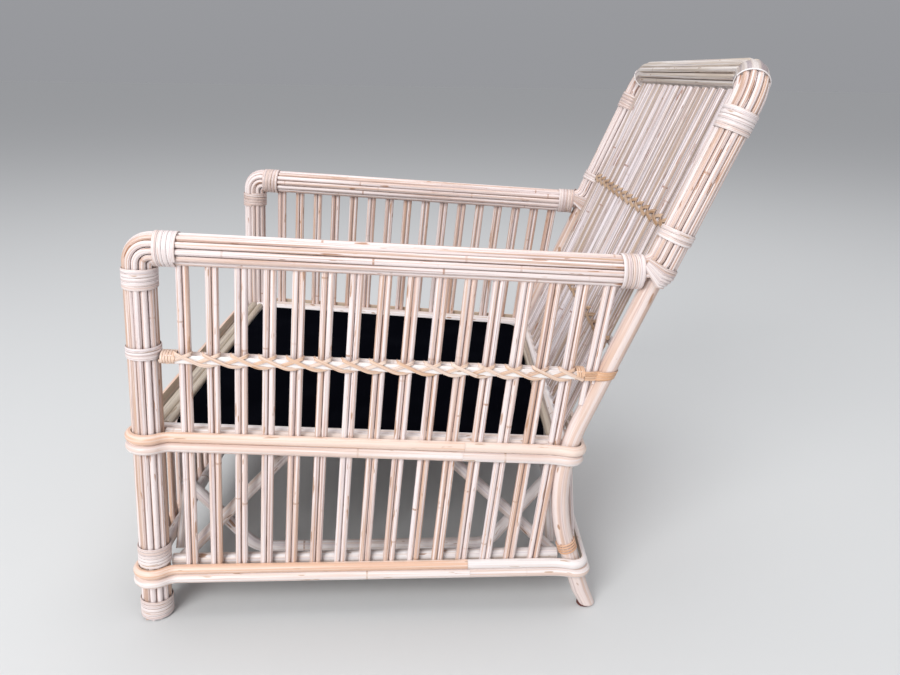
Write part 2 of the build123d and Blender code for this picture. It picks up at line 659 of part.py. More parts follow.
front_arch_y = base_front_y + RAIL + SEAT_GAP
front_arch_top = seat_z(front_rail_y) - seat_rail_drop - RAIL - SEAT_GAP
parts["front_arch_brace"] = group(
    [end_arch(front_arch_y, front_rail_y + 3, front_arch_top, FRONT_HALF)]
)
rear_arch_top = seat_z(rear_rail_y) - seat_rail_drop - RAIL - SEAT_GAP
rear_arch_y = base_rear_y - RAIL - SEAT_GAP
parts["rear_arch_brace"] = group(
    [end_arch(rear_arch_y, rear_rail_y - 3, rear_arch_top, base_leg.X)]
)


# Front, rear and back slats, in pairs like the sides
def even(half, margin):
    """Pair centres spread evenly between two posts."""
    span = 2 * (half - margin)
    number = round(span / END_PITCH)
    return [-half + margin + span * i / number for i in range(number + 1)]


front_slats = []
front_top = SEAT_HEIGHT - 12
front_low = post_y(slat_low) - END_SLAT_OUT
front_high = post_y(front_top) - END_SLAT_OUT
for x in even(FRONT_HALF, END_MARGIN):
    for step in (-PAIR, PAIR):
        front_slats.append(rod([(x + step, front_low, slat_low), (x + step, front_high, front_top)], CANE))
parts["front_slats"] = group(front_slats)
rear_slats = []
for x in even(base_leg.X, END_MARGIN - 6):
    for step in (-PAIR, PAIR):
        ends = [(x + step, rear_base_y, slat_low), (x + step, rear_seat_y, rear_top)]
        rear_slats.append(rod(ends, CANE))
parts["rear_slats"] = group(rear_slats)
back_foot_z = seat_z(rear_rail_y) - seat_rail_drop + RAIL / 2 + 3.5
back_slats = []
back_rows = even(at(TOP_S, 0).X, END_MARGIN + 6)
back_foot_y = at(leg_s(back_foot_z), 0).Y
back_low = Vector(0, back_foot_y, back_foot_z) + back_normal * SLAT_FORWARD
back_high = Vector(0, top_corner.Y, top_corner.Z) - back_up * (BUNDLE + 0.4) + back_normal * SLAT_FORWARD
for x in back_rows:
    spread = at(leg_s(back_foot_z), 0).X / at(TOP_S, 0).X
    for step in (-PAIR, PAIR):
        low = Vector(x * spread + step, back_low.Y, back_low.Z)
        high = Vector(x + step, back_high.Y, back_high.Z)
        back_slats.append(rod([low, high], CANE))
parts["back_slats"] = group(back_slats)

# Lashed rails across the back, behind the slats, with crossed strips on the front
behind = SLAT_FORWARD - CANE / 2 - SEAT_GAP - LATH / 2
for label, z in (("lower", SEAT_HEIGHT + BACK_RAIL_LOW), ("upper", JOINT_Z + BACK_RAIL_HIGH)):
    on_leg = leg_at(z)
    reach = on_leg.X - (POLE / 2 if z < JOINT_Z else BUNDLE + WRAP) - 1.2
    middle = Vector(0, on_leg.Y, on_leg.Z) + back_normal * behind
    rail_ends = [middle + Vector(-reach, 0, 0), middle + Vector(reach, 0, 0)]
    parts["back_rail_" + label] = group([rod(rail_ends, LATH)])
    crosses = []
    share = (z - back_foot_z) / (BACK_HEIGHT - back_foot_z)
    for x in back_rows:
        spread = at(leg_s(back_foot_z), 0).X / at(TOP_S, 0).X
        here = x * (spread + (1 - spread) * share)
        face = Vector(here, on_leg.Y, on_leg.Z) + back_normal * (SLAT_FORWARD + CANE / 2)
        for layer, swing in ((0, LASH_SWING), (1, -LASH_SWING)):
            crosses.append(strip(face, EAST, back_up, back_normal, swing, END_PITCH * 0.86, layer))
    parts["back_lashing_" + label] = group(crosses)

# Deck: a cloth panel inside a border of canes, carried on webbing
bead_n = rail_in - RAIL / 2 - SEAT_GAP - BEAD / 2
deck_n = bead_n - BEAD / 2 - SEAT_GAP
bead_front = front_rail_y + RAIL / 2 + SEAT_GAP + BEAD / 2
bead_rear = rear_rail_y - RAIL / 2 - SEAT_GAP - BEAD / 2
deck_front = bead_front + BEAD / 2 + SEAT_GAP
deck_rear = bead_rear - BEAD / 2 - SEAT_GAP
bead_drop = 3.0


def inner_half(y, n):
    return FRONT_HALF - y * tan(TURN) + n / cos(TURN)


beads = []
for y in (bead_front, bead_rear):
    z = seat_z(y) - bead_drop
    reach = inner_half(y, bead_n) - BEAD / 2 - SEAT_GAP
    if y == bead_front:
        reach = post_half - 8
    beads.append(cross_rail(y, z, BEAD, reach))
side_front = max(bead_front + BEAD / 2 + SEAT_GAP, side_from)
for hand in (1, -1):
    ends = []
    for y in (side_front, bead_rear + BEAD / 2):
        ends.append((hand * inner_half(y, bead_n), y, seat_z(y) - bead_drop))
    beads.append(rod(ends, BEAD))
parts["seat_beading"] = group(beads)
corners = []
for y, hand in ((deck_front, -1), (deck_front, 1), (deck_rear, 1), (deck_rear, -1)):
    corners.append((hand * inner_half(y, deck_n), y))
panel = make_face(Polyline(*corners, close=True))
panel = fillet(panel.vertices(), 10)
panel = extrude(panel, amount=-DECK_THICK)
slope_plane = Plane((0, 0, SEAT_HEIGHT), x_dir=(1, 0, 0), z_dir=(0, sin(seat_fall), cos(seat_fall)))
parts["seat_deck"] = group([(slope_plane * panel).solid()])
straps = []
strap_top = -DECK_THICK - SEAT_GAP
deck_long = deck_rear - deck_front
for i in range(5):
    x = (i - 2) * 96.0
    strap = Pos(x, (deck_front + deck_rear) / 2, strap_top - STRAP_THICK / 2)
    straps.append(slope_plane * (strap * Box(STRAP_WIDE, deck_long + 2 * BEAD, STRAP_THICK)))
for i in range(5):
    y = deck_front + deck_long * (i + 0.5) / 5
    reach = 2 * (inner_half(y, bead_n) + BEAD * 0.3)
    strap = Pos(0, y, strap_top - STRAP_THICK * 1.5 - SEAT_GAP)
    straps.append(slope_plane * (strap * Box(reach, STRAP_WIDE, STRAP_THICK)))
parts["seat_webbing"] = group([s.solid() for s in straps])

# The origin goes to the middle of the footprint
boxes = [shape.bounding_box() for shape in parts.values()]
shift_y = -(min(b.min.Y for b in boxes) + max(b.max.Y for b in boxes)) / 2
os.makedirs("parts", exist_ok=True)
for node, shape in parts.items():
    export_step(Pos(0, shift_y, 0) * shape, "parts/" + node + ".step")
whole = group(parts.values()).bounding_box()
print("nodes", len(parts), "shift", round(shift_y, 3), "lowest", round(whole.min.Z, 4))
print("size", round(whole.size.X, 1), round(whole.size.Y, 1), round(whole.size.Z, 1))
print("canes", CANES, "side pairs", count, "base pitch", round(base_pitch, 2))
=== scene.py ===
import bpy
import numpy as np
from mathutils import Matrix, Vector
from numpy import cos, pi, sin, tan


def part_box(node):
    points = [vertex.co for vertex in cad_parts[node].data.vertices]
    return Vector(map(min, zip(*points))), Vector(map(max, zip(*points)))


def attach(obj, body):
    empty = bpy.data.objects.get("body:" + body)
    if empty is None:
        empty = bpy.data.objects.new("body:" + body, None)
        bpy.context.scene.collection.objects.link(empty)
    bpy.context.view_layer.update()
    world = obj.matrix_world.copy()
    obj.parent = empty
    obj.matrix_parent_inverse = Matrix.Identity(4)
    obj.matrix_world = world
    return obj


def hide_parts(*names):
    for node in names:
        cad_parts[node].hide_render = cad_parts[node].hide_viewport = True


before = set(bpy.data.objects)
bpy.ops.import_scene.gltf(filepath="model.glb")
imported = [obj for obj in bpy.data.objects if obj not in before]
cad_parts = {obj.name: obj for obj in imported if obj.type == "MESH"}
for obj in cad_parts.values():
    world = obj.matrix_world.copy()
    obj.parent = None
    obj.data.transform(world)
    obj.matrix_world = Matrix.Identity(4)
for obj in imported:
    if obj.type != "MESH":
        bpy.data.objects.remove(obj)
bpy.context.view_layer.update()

# Rear legs: one peeled rattan pole on each side, steamed and bent under the seat, then straight up the
# back. Every piece of a side lies in or beside one upright plane that turns in towards the back.
taper = np.radians(2.55)
lean = np.radians(22.7)
knee, knee_up, foot = 0.542, 0.205, 0.609
knee_bend = 0.290
half_wide = 0.330
pole = 0.0254
glide_round, glide_back, glide_high = 0.0112, 0.60802, 0.003
elbow_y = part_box("rear_glides")[0][1] + glide_round - glide_back * cos(taper)
mirror = np.array([-1, 1, 1])


def at(s, z, n=0.0):
    """Point of the sitter's left side: s back from the elbow, z up, n outward."""
    x = half_wide - s * sin(taper) + n * cos(taper)
    y = s * cos(taper) + n * sin(taper) + elbow_y
    return np.stack(np.broadcast_arrays(x, y, z), -1)


def unit(v):
    """Direction of a vector: the vector over its length."""
    return v / np.linalg.norm(v, axis=-1, keepdims=True)


def leg_s(z):
    """Place of the leg's upper run at a height: the knee's, plus the height over it times tan lean."""
    return knee + (z - knee_up) * tan(lean)


def low_leg_s(z):
    """Place of the leg's lower run at a height: on the line from the foot to the knee."""
    return foot - z * (foot - knee) / knee_up


def stretch(a, b, step):
    """Even points from a to b, about one per step."""
    count = int(np.linalg.norm(b - a) / step) + 2
    return a + (b - a) * np.linspace(0, 1, count)[:, None]


def runs(points, bends=(), arc=0.004, step=0.05):
    """Straight runs through the points, each inner corner rounded by a tangent arc of its radius.
    An arc is its centre plus the first spoke times cos q plus the travel times the radius and sin q."""
    here = points[0]
    out = []
    for before, corner, after, bend in zip(points, points[1:], points[2:], bends):
        a = unit(before - corner)
        b = unit(after - corner)
        half = np.arccos(a @ b) / 2
        start = corner + a * bend / tan(half)
        centre = corner + unit(a + b) * bend / sin(half)
        turn = pi - 2 * half
        q = np.linspace(0, turn, int(turn * bend / arc) + 4)[:, None]
        bow = centre + (start - centre) * cos(q) - a * bend * sin(q)
        out += [stretch(here, start, step)[:-1], bow[:-1]]
        here = bow[-1]
    return np.concatenate(out + [stretch(here, points[-1], step)])


def squared(wave, power):
    """A sine or cosine to a power, with its sign kept. A power under 1 squares it off."""
    return np.sign(wave) * np.abs(wave) ** power


def ring(wide, tall=None, sides=14, power=1.0, inner=0.0):
    """Outline of a cane or strip: half the width times cos to a power, half the height times sin
    to the same power. It starts at the angle of its inner side, so that the middle of the UV map faces
    out."""
    a = inner + 2 * pi * (np.arange(sides) + 0.5) / sides
    tall = tall or wide
    return 0.5 * np.stack([wide * squared(cos(a), power), tall * squared(sin(a), power)], -1)


def carry(path, side, outline, swell=1.0):
    """Carries an outline along a path: point = path + side x + over y, where over is square to the
    path and to side, and swell scales the outline from point to point."""
    along = unit(np.gradient(path, axis=0))
    over = unit(np.cross(along, np.broadcast_to(side, path.shape)))
    side = np.cross(over, along)
    size = np.broadcast_to(swell, len(path))[:, None, None]
    return path[:, None] + size * (side[:, None] * outline[:, :1] + over[:, None] * outline[:, 1:])


def new_object(name, data):
    """A new object of some data, put into the scene."""
    thing = bpy.data.objects.new(name, data)
    bpy.context.collection.objects.link(thing)
    return thing


def lay(name, strands, finish, node):
    """One mesh from strands, each a grid of rings with its own shade and, if there are several finishes,
    the number of its own. The UV map runs once round the ring and along the strand in metres, and both
    ends are closed by flat cuts."""
    points, faces, peel, shade, coats = [], [], [], [], []
    base = 0
    for strand, tone, *coat in strands:
        n, m = strand.shape[:2]
        i, j = np.indices((n - 1, m))
        k = (j + 1) % m
        quads = np.stack([i * m + j, i * m + k, (i + 1) * m + k, (i + 1) * m + j], -1)
        run = np.append(0, np.cumsum(np.linalg.norm(np.diff(strand.mean(1), axis=0), axis=1)))
        u = (np.stack([j, j + 1, j + 1, j], -1) + 0.5) / m
        v = np.stack([run[i], run[i], run[i + 1], run[i + 1]], -1)
        faces += (quads.reshape(-1, 4) + base).tolist()
        faces += [(base + np.arange(m)[::-1]).tolist(), (base + (n - 1) * m + np.arange(m)).tolist()]
        peel += [np.stack([u, v], -1).reshape(-1, 2)]
        peel += [np.tile([0.5, 0.0], (m, 1)), np.tile([0.5, run[-1]], (m, 1))]
        points.append(strand.reshape(-1, 3))
        shade.append(np.full(n * m, tone))
        coats.append(np.full((n - 1) * m + 2, coat[0] if coat else 0))
        base += n * m
    mesh = bpy.data.meshes.new(name)
    mesh.from_pydata(np.concatenate(points), [], faces)
    mesh.uv_layers.new(name="peel").data.foreach_set("uv", np.concatenate(peel).ravel())
    mesh.attributes.new("tone", "FLOAT", "POINT").data.foreach_set("value", np.concatenate(shade))
    mesh.polygons.foreach_set("use_smooth", np.ones(len(faces), bool))
    mesh.set_sharp_from_angle(angle=np.radians(42))
    for one in finish if isinstance(finish, list) else [finish]:
        mesh.materials.append(one)
    mesh.polygons.foreach_set("material_index", np.concatenate(coats))
    piece = new_object(name, mesh)
    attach(piece, "root")
    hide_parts(node)
    return piece


def both(name, strands, finish, node):
    """A set of strands on the left, and on the right its mirror image with other shades."""
    lay("left_" + name, strands, finish, "left_" + node)
    flipped = [(s[:, ::-1] * mirror, (t * 7.31 + 0.37) % 1, *c) for s, t, *c in strands]
    lay("right_" + name, flipped, finish, "right_" + node)


def feed(tree, node, sockets):
    """Sets each socket of a shader node, or links it where its value comes from another node. A tuple is
    a colour, and gets an alpha of 1."""
    for key, value in sockets.items():
        if isinstance(value, bpy.types.NodeSocket):
            tree.links.new(value, node.inputs[key])
        else:
            node.inputs[key].default_value = (*value, 1.0) if isinstance(value, tuple) else value


def add(tree, kind, sockets=None, **settings):
    """The outputs of a new shader node with its settings, and its sockets set or linked."""
    node = tree.nodes.new("ShaderNode" + kind)
    for key, value in settings.items():
        setattr(node, key, value)
    feed(tree, node, sockets or {})
    return node.outputs


def new_finish(name):
    """A new material, its node tree and its Principled surface."""
    finish = bpy.data.materials.new(name)
    finish.use_nodes = True
    return finish, finish.node_tree, finish.node_tree.nodes["Principled BSDF"]


def sums(tree, operation, *terms):
    """One operation of arithmetic on its terms."""
    return add(tree, "Math", dict(enumerate(terms)), operation=operation)[0]


def span(tree, value, low, high, to_low=0.0, to_high=1.0):
    """Value eased from one range into another."""
    limits = {"Value": value, "From Min": low, "From Max": high, "To Min": to_low, "To Max": to_high}
    return add(tree, "MapRange", limits, interpolation_type="SMOOTHSTEP")[0]


def blend(tree, share, first, second):
    """First colour, turning into the second by a share."""
    return add(tree, "Mix", {0: share, 6: first, 7: second}, data_type="RGBA")[2]


def relief(tree, height, strength, distance):
    """Normals of a surface that a height raises by up to a distance."""
    sockets = {"Height": height, "Strength": strength, "Distance": distance}
    return add(tree, "Bump", sockets)[0]


cane_skin = bpy.data.node_groups.new("cane_skin", "ShaderNodeTree")
marks = ("Streak", "Blotch", "Grain", "Shade_soil_mask", "Knuckle", "Height")
for label, kind in (("Round", "Vector"), ("Tone", "Float"), ("Spacing", "Float"), ("Open_share", "Float")):
    cane_skin.interface.new_socket(label, in_out="INPUT", socket_type="NodeSocket" + kind)
for label in marks:
    cane_skin.interface.new_socket(label, in_out="OUTPUT", socket_type="NodeSocketFloat")
given = cane_skin.nodes.new("NodeGroupInput").outputs
wanted = cane_skin.nodes.new("NodeGroupOutput").inputs


def skin(operation, *terms):
    """One operation inside the group."""
    return sums(cane_skin, operation, *terms)


place = add(cane_skin, "SeparateXYZ", {0: given["Round"]})
angle = skin("MULTIPLY", place[0], 2 * pi)
cosine = skin("COSINE", angle)
sine = skin("SINE", angle)
along = skin("MULTIPLY_ADD", given["Tone"], 13.7, place[1])


def fibre(across, lengthwise, detail):
    """Noise drawn out along the cane, with no seam: it is read on a circle across and a line along."""
    parts = (cosine, across), (sine, across), (along, lengthwise)
    where = {k: skin("MULTIPLY", *part) for k, part in enumerate(parts)}
    where = add(cane_skin, "CombineXYZ", where)[0]
    noise = {"Vector": where, "Scale": 1.0, "Detail": detail, "Roughness": 0.6}
    return add(cane_skin, "TexNoise", noise)[0]


streak = fibre(1.9, 2.8, 4.0)
blotch = fibre(0.45, 5.0, 2.0)
grain = fibre(3.4, 4.0, 3.0)
# Painted shade with some soil: darker past the open share of the round, on the side where one cane lies
# against the next, with an edge that the grain breaks up.
round_off = skin("ABSOLUTE", skin("SUBTRACT", place[0], 0.5))
round_off = skin("MULTIPLY_ADD", skin("SUBTRACT", grain, 0.5), 0.12, round_off)
round_off = skin("SUBTRACT", round_off, given["Open_share"])
shade_soil_mask = span(cane_skin, round_off, -0.05, 0.04)
# Scars: a narrow ring at every joint of the stem, each of another depth.
joint_no = skin("DIVIDE", along, given["Spacing"])
off = skin("ABSOLUTE", skin("SUBTRACT", skin("FRACT", joint_no), 0.5))
off = skin("MULTIPLY", off, given["Spacing"])
off = skin("MULTIPLY_ADD", skin("SUBTRACT", blotch, 0.5), 0.002, off)
scar = span(cane_skin, off, 0.0006, 0.0021, 1.0, 0.0)
which = add(cane_skin, "TexWhiteNoise", {"W": skin("FLOOR", joint_no)}, noise_dimensions="1D")[0]
depth = skin("MULTIPLY", span(cane_skin, which, 0.25, 1.0), span(cane_skin, streak, 0.3, 0.6))
scar = skin("MULTIPLY", scar, depth)
rise = skin("MULTIPLY_ADD", grain, 0.5, skin("MULTIPLY", streak, 0.5))
rise = skin("MULTIPLY_ADD", scar, 0.9, rise)
# Bruises: short marks where a noise peaks.
bruise = span(cane_skin, fibre(0.9, 24.0, 2.0), 0.655, 0.70)
scar = skin("MAXIMUM", scar, bruise)
for label, value in zip(marks, (streak, blotch, grain, shade_soil_mask, scar, rise)):
    cane_skin.links.new(value, wanted[label])
# Colour of the painted shade, with some soil, on the sides where canes lie against each other.
dark_shade_soil = (0.20, 0.13, 0.12)


def rattan(
    name, pale, warm, lime, mark, washed=0.8, rough=0.42, spacing=0.19, open_share=1.0, lines=0.7, shade_soil_colour=dark_shade_soil
):
    """Limewashed cane: a pale ground that turns warm in long patches and from cane to cane, dusky lines of
    grain, white lime left in long streaks, darker scars at the joints of the stem and a few bruises, and
    painted shade with some soil past the open share of the round, where one cane or strip lies against the
    next."""
    finish, tree, surface = new_finish(name)
    peel = add(tree, "UVMap", uv_map="peel")[0]
    tone = add(tree, "Attribute", attribute_name="tone")["Fac"]
    sockets = {"Round": peel, "Tone": tone, "Spacing": spacing, "Open_share": open_share}
    streak, blotch, grain, shade_soil_mask, knuckle, height = add(tree, "Group", sockets, node_tree=cane_skin)
    drift = sums(tree, "MULTIPLY_ADD", tone, 0.34, blotch)
    colour = blend(tree, span(tree, drift, 0.48, 0.80), pale, warm)
    dusk = (warm[0] * 0.62, warm[1] * 0.60, warm[2] * 0.80)
    left = sums(tree, "MULTIPLY_ADD", tone, -0.09, streak)
    colour = blend(tree, span(tree, left, 0.40, 0.51, 0.0, washed), colour, lime)
    colour = blend(tree, span(tree, grain, 0.52, 0.66, 0.0, lines), colour, dusk)
    colour = blend(tree, sums(tree, "MULTIPLY", knuckle, 0.85), colour, mark)
    # Painted shade with some soil, on the side where one cane or strip lies against the next.
    colour = blend(tree, sums(tree, "MULTIPLY", shade_soil_mask, 0.8), colour, shade_soil_colour)
    gloss = span(tree, streak, 0.3, 0.7, rough - 0.08, rough + 0.10)
    normal = relief(tree, height, 0.6, 0.00025)
    feed(tree, surface, {"Base Color": colour, "Roughness": gloss, "Normal": normal})
    feed(tree, surface, {"Coat Weight": 0.2, "Coat Roughness": 0.28})
    return finish


leg_finish = rattan(
    "limewashed_pole", (0.76, 0.58, 0.50), (0.66, 0.45, 0.34), (0.91, 0.82, 0.81), (0.42, 0.22, 0.12),
    washed=0.6, spacing=0.31, lines=0.45,
)
back_high = 0.767
top_corner = at(leg_s(back_high), back_high)
upward = unit(top_corner - at(knee, knee_up))
outward = np.array([cos(taper), sin(taper), 0])
across = np.array([1.0, 0, 0])
corner_bend = 0.040
corner_out = unit(across - upward * (across @ upward))
corner_axis = np.cross(upward, corner_out)
hub = top_corner - unit(upward + across) * corner_bend / sin(np.arccos(upward @ across) / 2)
corner_turn = pi - np.arccos(upward @ across)
corner_cut = np.radians(47)


def over_corner(aside, q_from, q_to, step=0.05):
    """Arc over the top corner of a line that stands off the back pole by aside: the hub, plus aside's
    share along the axis, plus the bend's radius, grown by aside's share outward, at the angle q."""
    q = np.linspace(q_from, q_to, int((q_to - q_from) / step) + 3)[:, None]
    spoke = corner_out * cos(q) + upward * sin(q)
    return hub + corner_axis * (aside @ corner_axis) + (corner_bend + aside @ corner_out) * spoke


below = -0.008
leg_points = [at(low_leg_s(below), below), at(knee, knee_up), hub + corner_out * corner_bend]
path = runs(leg_points, [knee_bend], 0.008)
path = np.concatenate([path, over_corner(np.zeros(3), 0, corner_cut + 0.1)[1:]])
leg = carry(path, outward, ring(pole, sides=24))
leg[..., 2] = np.maximum(leg[..., 2], glide_high)
both("bent_leg", [(leg, 0.30)], leg_finish, "rear_leg")

# Glides: small round feet of dark moulded plastic, one under each rear leg. They are nailed up into the
# cut end of the pole, and the floor has scuffed them a little.
glide_finish, tree, surface = new_finish("dark_glide")
here = add(tree, "TexCoord")["Object"]
scuff = add(tree, "TexNoise", {"Vector": here, "Scale": 900.0, "Detail": 3.0})[0]
tint = blend(tree, span(tree, scuff, 0.4, 0.7), (0.10, 0.022, 0.018), (0.16, 0.06, 0.05))
feed(tree, surface, {"Base Color": tint, "Roughness": 0.55})
glide_at = at(low_leg_s(glide_high), 0.0)
rims = np.array([[0.0098, 0.0], [glide_round, 0.0008], [glide_round, 0.0024], [0.0104, glide_high]])
levels = glide_at + [[0, 0, z] for z in rims[:, 1]]
glide = carry(levels, across, ring(2.0, sides=24), rims[:, 0])
flipped = glide[:, ::-1] * mirror
lay("leg_glides", [(glide, 0.2), (flipped, 0.6)], glide_finish, "rear_glides")

# Front posts and arms: one pole on each side, bent at the elbow. It is the hidden core of the bundle,
# and only its cut end shows, under the foot.
fall_angle = np.radians(2.78)
fall = tan(fall_angle)
arm_up = 0.550
post_rake = 0.0304


def arm_z(s):
    """Height of the arm's middle line, which falls evenly from the elbow."""
    return arm_up - s * fall


def post_s(z):
    """Place of the post at a height: forward by the whole rake at the floor and by none at the elbow."""
    return -post_rake * (1 - z / arm_up)


def leg_meets(drop):
    """Where the leg's upper run meets a line that lies a drop below the arm and falls with it."""
    return (knee + (arm_up - drop - knee_up) * tan(lean)) / (1 + fall * tan(lean))


joint_s = leg_meets(0.0)
elbow = at(0, arm_up)
joint = at(joint_s, arm_z(joint_s))
along_arm = unit(joint - elbow)
elbow_bend = 0.018
below = -0.01
post_foot = at(post_s(below), below)
path = runs([post_foot, elbow, joint - along_arm * 0.016], [elbow_bend])
core = carry(path, outward, ring(pole, sides=20))
core[..., 2] = np.maximum(core[..., 2], 0.0)
both("core_pole", [(core, 0.5)], leg_finish, "post_and_arm_pole")

# Bundle canes: twelve thin limewashed canes laid round each post and arm. The upper ones are bent up the
# back, the lower ones stop at the leg, and short ones carry the bundle on behind the upright.
cane_finish = rattan(
    "limewashed_cane", (0.72, 0.54, 0.47), (0.60, 0.39, 0.28), (0.92, 0.84, 0.84), (0.40, 0.17, 0.07),
    open_share=0.25,
)
cane = 0.0086
cane_gap = 0.0001
round_core = pole / 2 + cane_gap + cane / 2
bundle = round_core + cane / 2
ring_of_canes = 2 * pi * np.arange(12) / 12
joint_bend = 0.030
over_arm = unit(np.cross(outward, along_arm))
up_post = unit(elbow - at(-post_rake, 0))
behind_post = unit(np.cross(up_post, outward))
ahead_back = unit(np.cross(outward, upward))
luck = np.random.default_rng(11)


def grown(path, side, section, tone, by=0.03):
    """A natural cane along a path, and its shade. It thickens and thins slowly: its size is 1 plus a small
    share times two sines of its run."""
    run = np.append(0, np.cumsum(np.linalg.norm(np.diff(path, axis=0), axis=1)))
    swell = 1 + by * sin(run * 21 + tone * 40) * sin(run * 8.3 + tone * 17)
    return carry(path, side, section, swell), tone


full, short, behind = [], [], []
stop = joint - along_arm * (pole / 2 / cos(lean) + 0.010)
for turn in ring_of_canes:
    lift = round_core * cos(turn)
    aside = outward * (round_core * sin(turn))
    low = post_foot - behind_post * lift + aside
    bend_1 = elbow + aside + (over_arm - behind_post) * lift
    bend = max(elbow_bend + lift, 0.56 * cane)
    top = over_corner(aside + ahead_back * lift, 0, corner_cut)
    section = ring(cane, inner=turn + pi / 2)
    tone = luck.random()
    if lift > -0.001:
        spread = np.linalg.norm(np.cross(upward, along_arm))
        bend_2 = joint + aside + (upward - along_arm) * (lift / spread)
        path = runs([low, bend_1, bend_2, top[0]], [bend, joint_bend - lift], 0.003, 0.03)
        path = np.concatenate([path, top[1:]])
        full.append(grown(path, outward, section, tone))
    else:
        path = runs([low, bend_1, stop + aside + over_arm * lift], [bend], 0.002, 0.03)
        short.append(grown(path, outward, section, tone))
        tone = luck.random()
        off_leg = aside + ahead_back * lift
        tucked = joint - upward * 0.013 + off_leg * 0.74
        path = runs([tucked, joint + upward * 0.006 + off_leg, top[0]], [0.025], 0.003, 0.03)
        path = np.concatenate([path, top[1:]])
        behind.append(grown(path, outward, section, tone))
for strands in (full, short):
    for strand, tone in strands:
        strand[..., 2] = np.maximum(strand[..., 2], 0.0)
both("bundle_canes", full, cane_finish, "arm_canes")
both("under_arm_canes", short, cane_finish, "lower_arm_canes")
both("back_post_canes", behind, cane_finish, "rear_upright_canes")

# Top rail: a straight pole between the two corners, inside its own ring of canes, greyer and drier than
# the rest from years of hands and sun.
rail_end = top_corner - across * 0.046
rail_tip = rail_end - across * 0.0003
back_face = np.array([0, -cos(lean), sin(lean)])
back_up = np.array([0, sin(lean), cos(lean)])
rail_finish = rattan(
    "weathered_cane", (0.73, 0.64, 0.565), (0.60, 0.495, 0.40), (0.90, 0.85, 0.83), (0.30, 0.17, 0.09),
    open_share=0.25,
)
rail_canes = []
rail_out = corner_out * cos(corner_turn) + upward * sin(corner_turn)
for turn in ring_of_canes:
    aside = back_face * (round_core * cos(turn)) + back_up * (round_core * sin(turn))
    tone = luck.random()
    into_cap = corner_axis * (aside @ corner_axis) + corner_out * (aside @ rail_out)
    into_cap = over_corner(into_cap, corner_turn - 0.42, corner_turn)
    ends = runs([into_cap[-1] * mirror, into_cap[-1]], step=0.02)
    path = np.concatenate([into_cap[:-1] * mirror, ends, into_cap[-2::-1]])
    section = ring(cane, inner=pi - turn)
    rail_canes.append(grown(path, back_face, section, tone))
lay("top_rail_bundle", rail_canes, rail_finish, "top_rail_canes")
inner = carry(runs([rail_tip * mirror, rail_tip]), back_face, ring(pole, sides=16))
lay("top_rail_core", [(inner, 0.4)], leg_finish, "top_rail_pole")

# Corner wraps: broad peel wound so closely over the two top corners that it reads as one smooth cap. The
# rail's canes still show through it at one end, and a pale lip closes it where the upright's canes end.
corner_finish = rattan(
    "smooth_corner_peel", (0.50, 0.42, 0.38), (0.42, 0.34, 0.29), (0.62, 0.56, 0.54), (0.45, 0.28, 0.18),
    rough=0.48, spacing=0.9,
)
lip_finish = rattan(
    "white_lip", (0.90, 0.86, 0.84), (0.82, 0.74, 0.69), (0.94, 0.92, 0.91), (0.7, 0.55, 0.45), spacing=0.9
)
path = over_corner(np.zeros(3), corner_cut + 0.012, corner_turn, 0.02)
path = np.concatenate([path, stretch(path[-1], rail_end + across * 0.0005, 0.003)[1:]])
theta = 2 * pi * np.arange(72) / 72
t = np.linspace(0, 1, len(path))[:, None]
through = np.clip((t - 0.25) / 0.60, 0, 1) ** 1.3
plump = bundle + 0.0004 - 0.0040 * through * (0.55 - 0.45 * cos(12 * theta))
along = unit(np.gradient(path, axis=0))[:, None]
out = np.cross(corner_axis, along)
cap = path[:, None] + plump[..., None] * (corner_axis * cos(theta)[:, None] + out * sin(theta)[:, None])
q = np.linspace(0, 2 * pi, 56)[:, None]
spoke = corner_out * cos(corner_cut) + upward * sin(corner_cut)
lip_path = hub + spoke * corner_bend + (bundle + 0.0008) * (corner_axis * cos(q) + spoke * sin(q))
lip = carry(lip_path, spoke, ring(0.0016, 0.0024, 8))
both("corner_cap", [(cap, 0.35), (lip, 0.05, 1)], [corner_finish, lip_finish], "corner_wrap")

# Bindings: flat peel wound wet round post, arm and upright, a few turns edge to edge, so that it shrinks
# tight over the canes as it dries. Six strips of it, laid behind the upright, tie the arm to it.
peel_finish = rattan(
    "wound_peel", (0.76, 0.62, 0.57), (0.66, 0.48, 0.40), (0.89, 0.82, 0.82), (0.48, 0.30, 0.18),
    rough=0.45, spacing=0.7, open_share=0.23,
)
askew = np.array([0.31, 0.52, 0.80])


def wound(start, end, core_wide, turns, thick=0.0019, lumps=12, first=0.0, spokes=None, fill=0.96):
    """Peel wound from start to end: a flat strip carried along a helix, whose radius dips a little
    between the canes under it. Two spokes of other lengths and directions make it oval or slanted, the
    second a quarter turn on from the first about the axis. Fill is the share of the pitch it covers."""
    long = np.linalg.norm(end - start)
    axis = (end - start) / long
    e1 = unit(np.cross(axis, askew))
    e1, e2 = spokes or (e1, np.cross(axis, e1))
    wide = long / turns
    q = np.linspace(0, 2 * pi * turns, turns * 30 + 2)
    radius = core_wide + thick / 2 - 0.0003 * (1 - cos(lumps * q)) / 2
    travel = np.clip((q / (2 * pi) - 0.5) * wide, 0, long - wide) + wide / 2
    q = (q + first)[:, None]
    path = start + axis * travel[:, None] + radius[:, None] * (e1 * cos(q) + e2 * sin(q))
    return carry(path, axis, ring(wide * fill, thick, 12, 0.75, -pi / 2))


def post_at(z):
    """Point on the post's middle line at a height."""
    return at(post_s(z), z)


def leg_at(z):
    """Point on the leg's upper middle line at a height."""
    return at(leg_s(z), z)


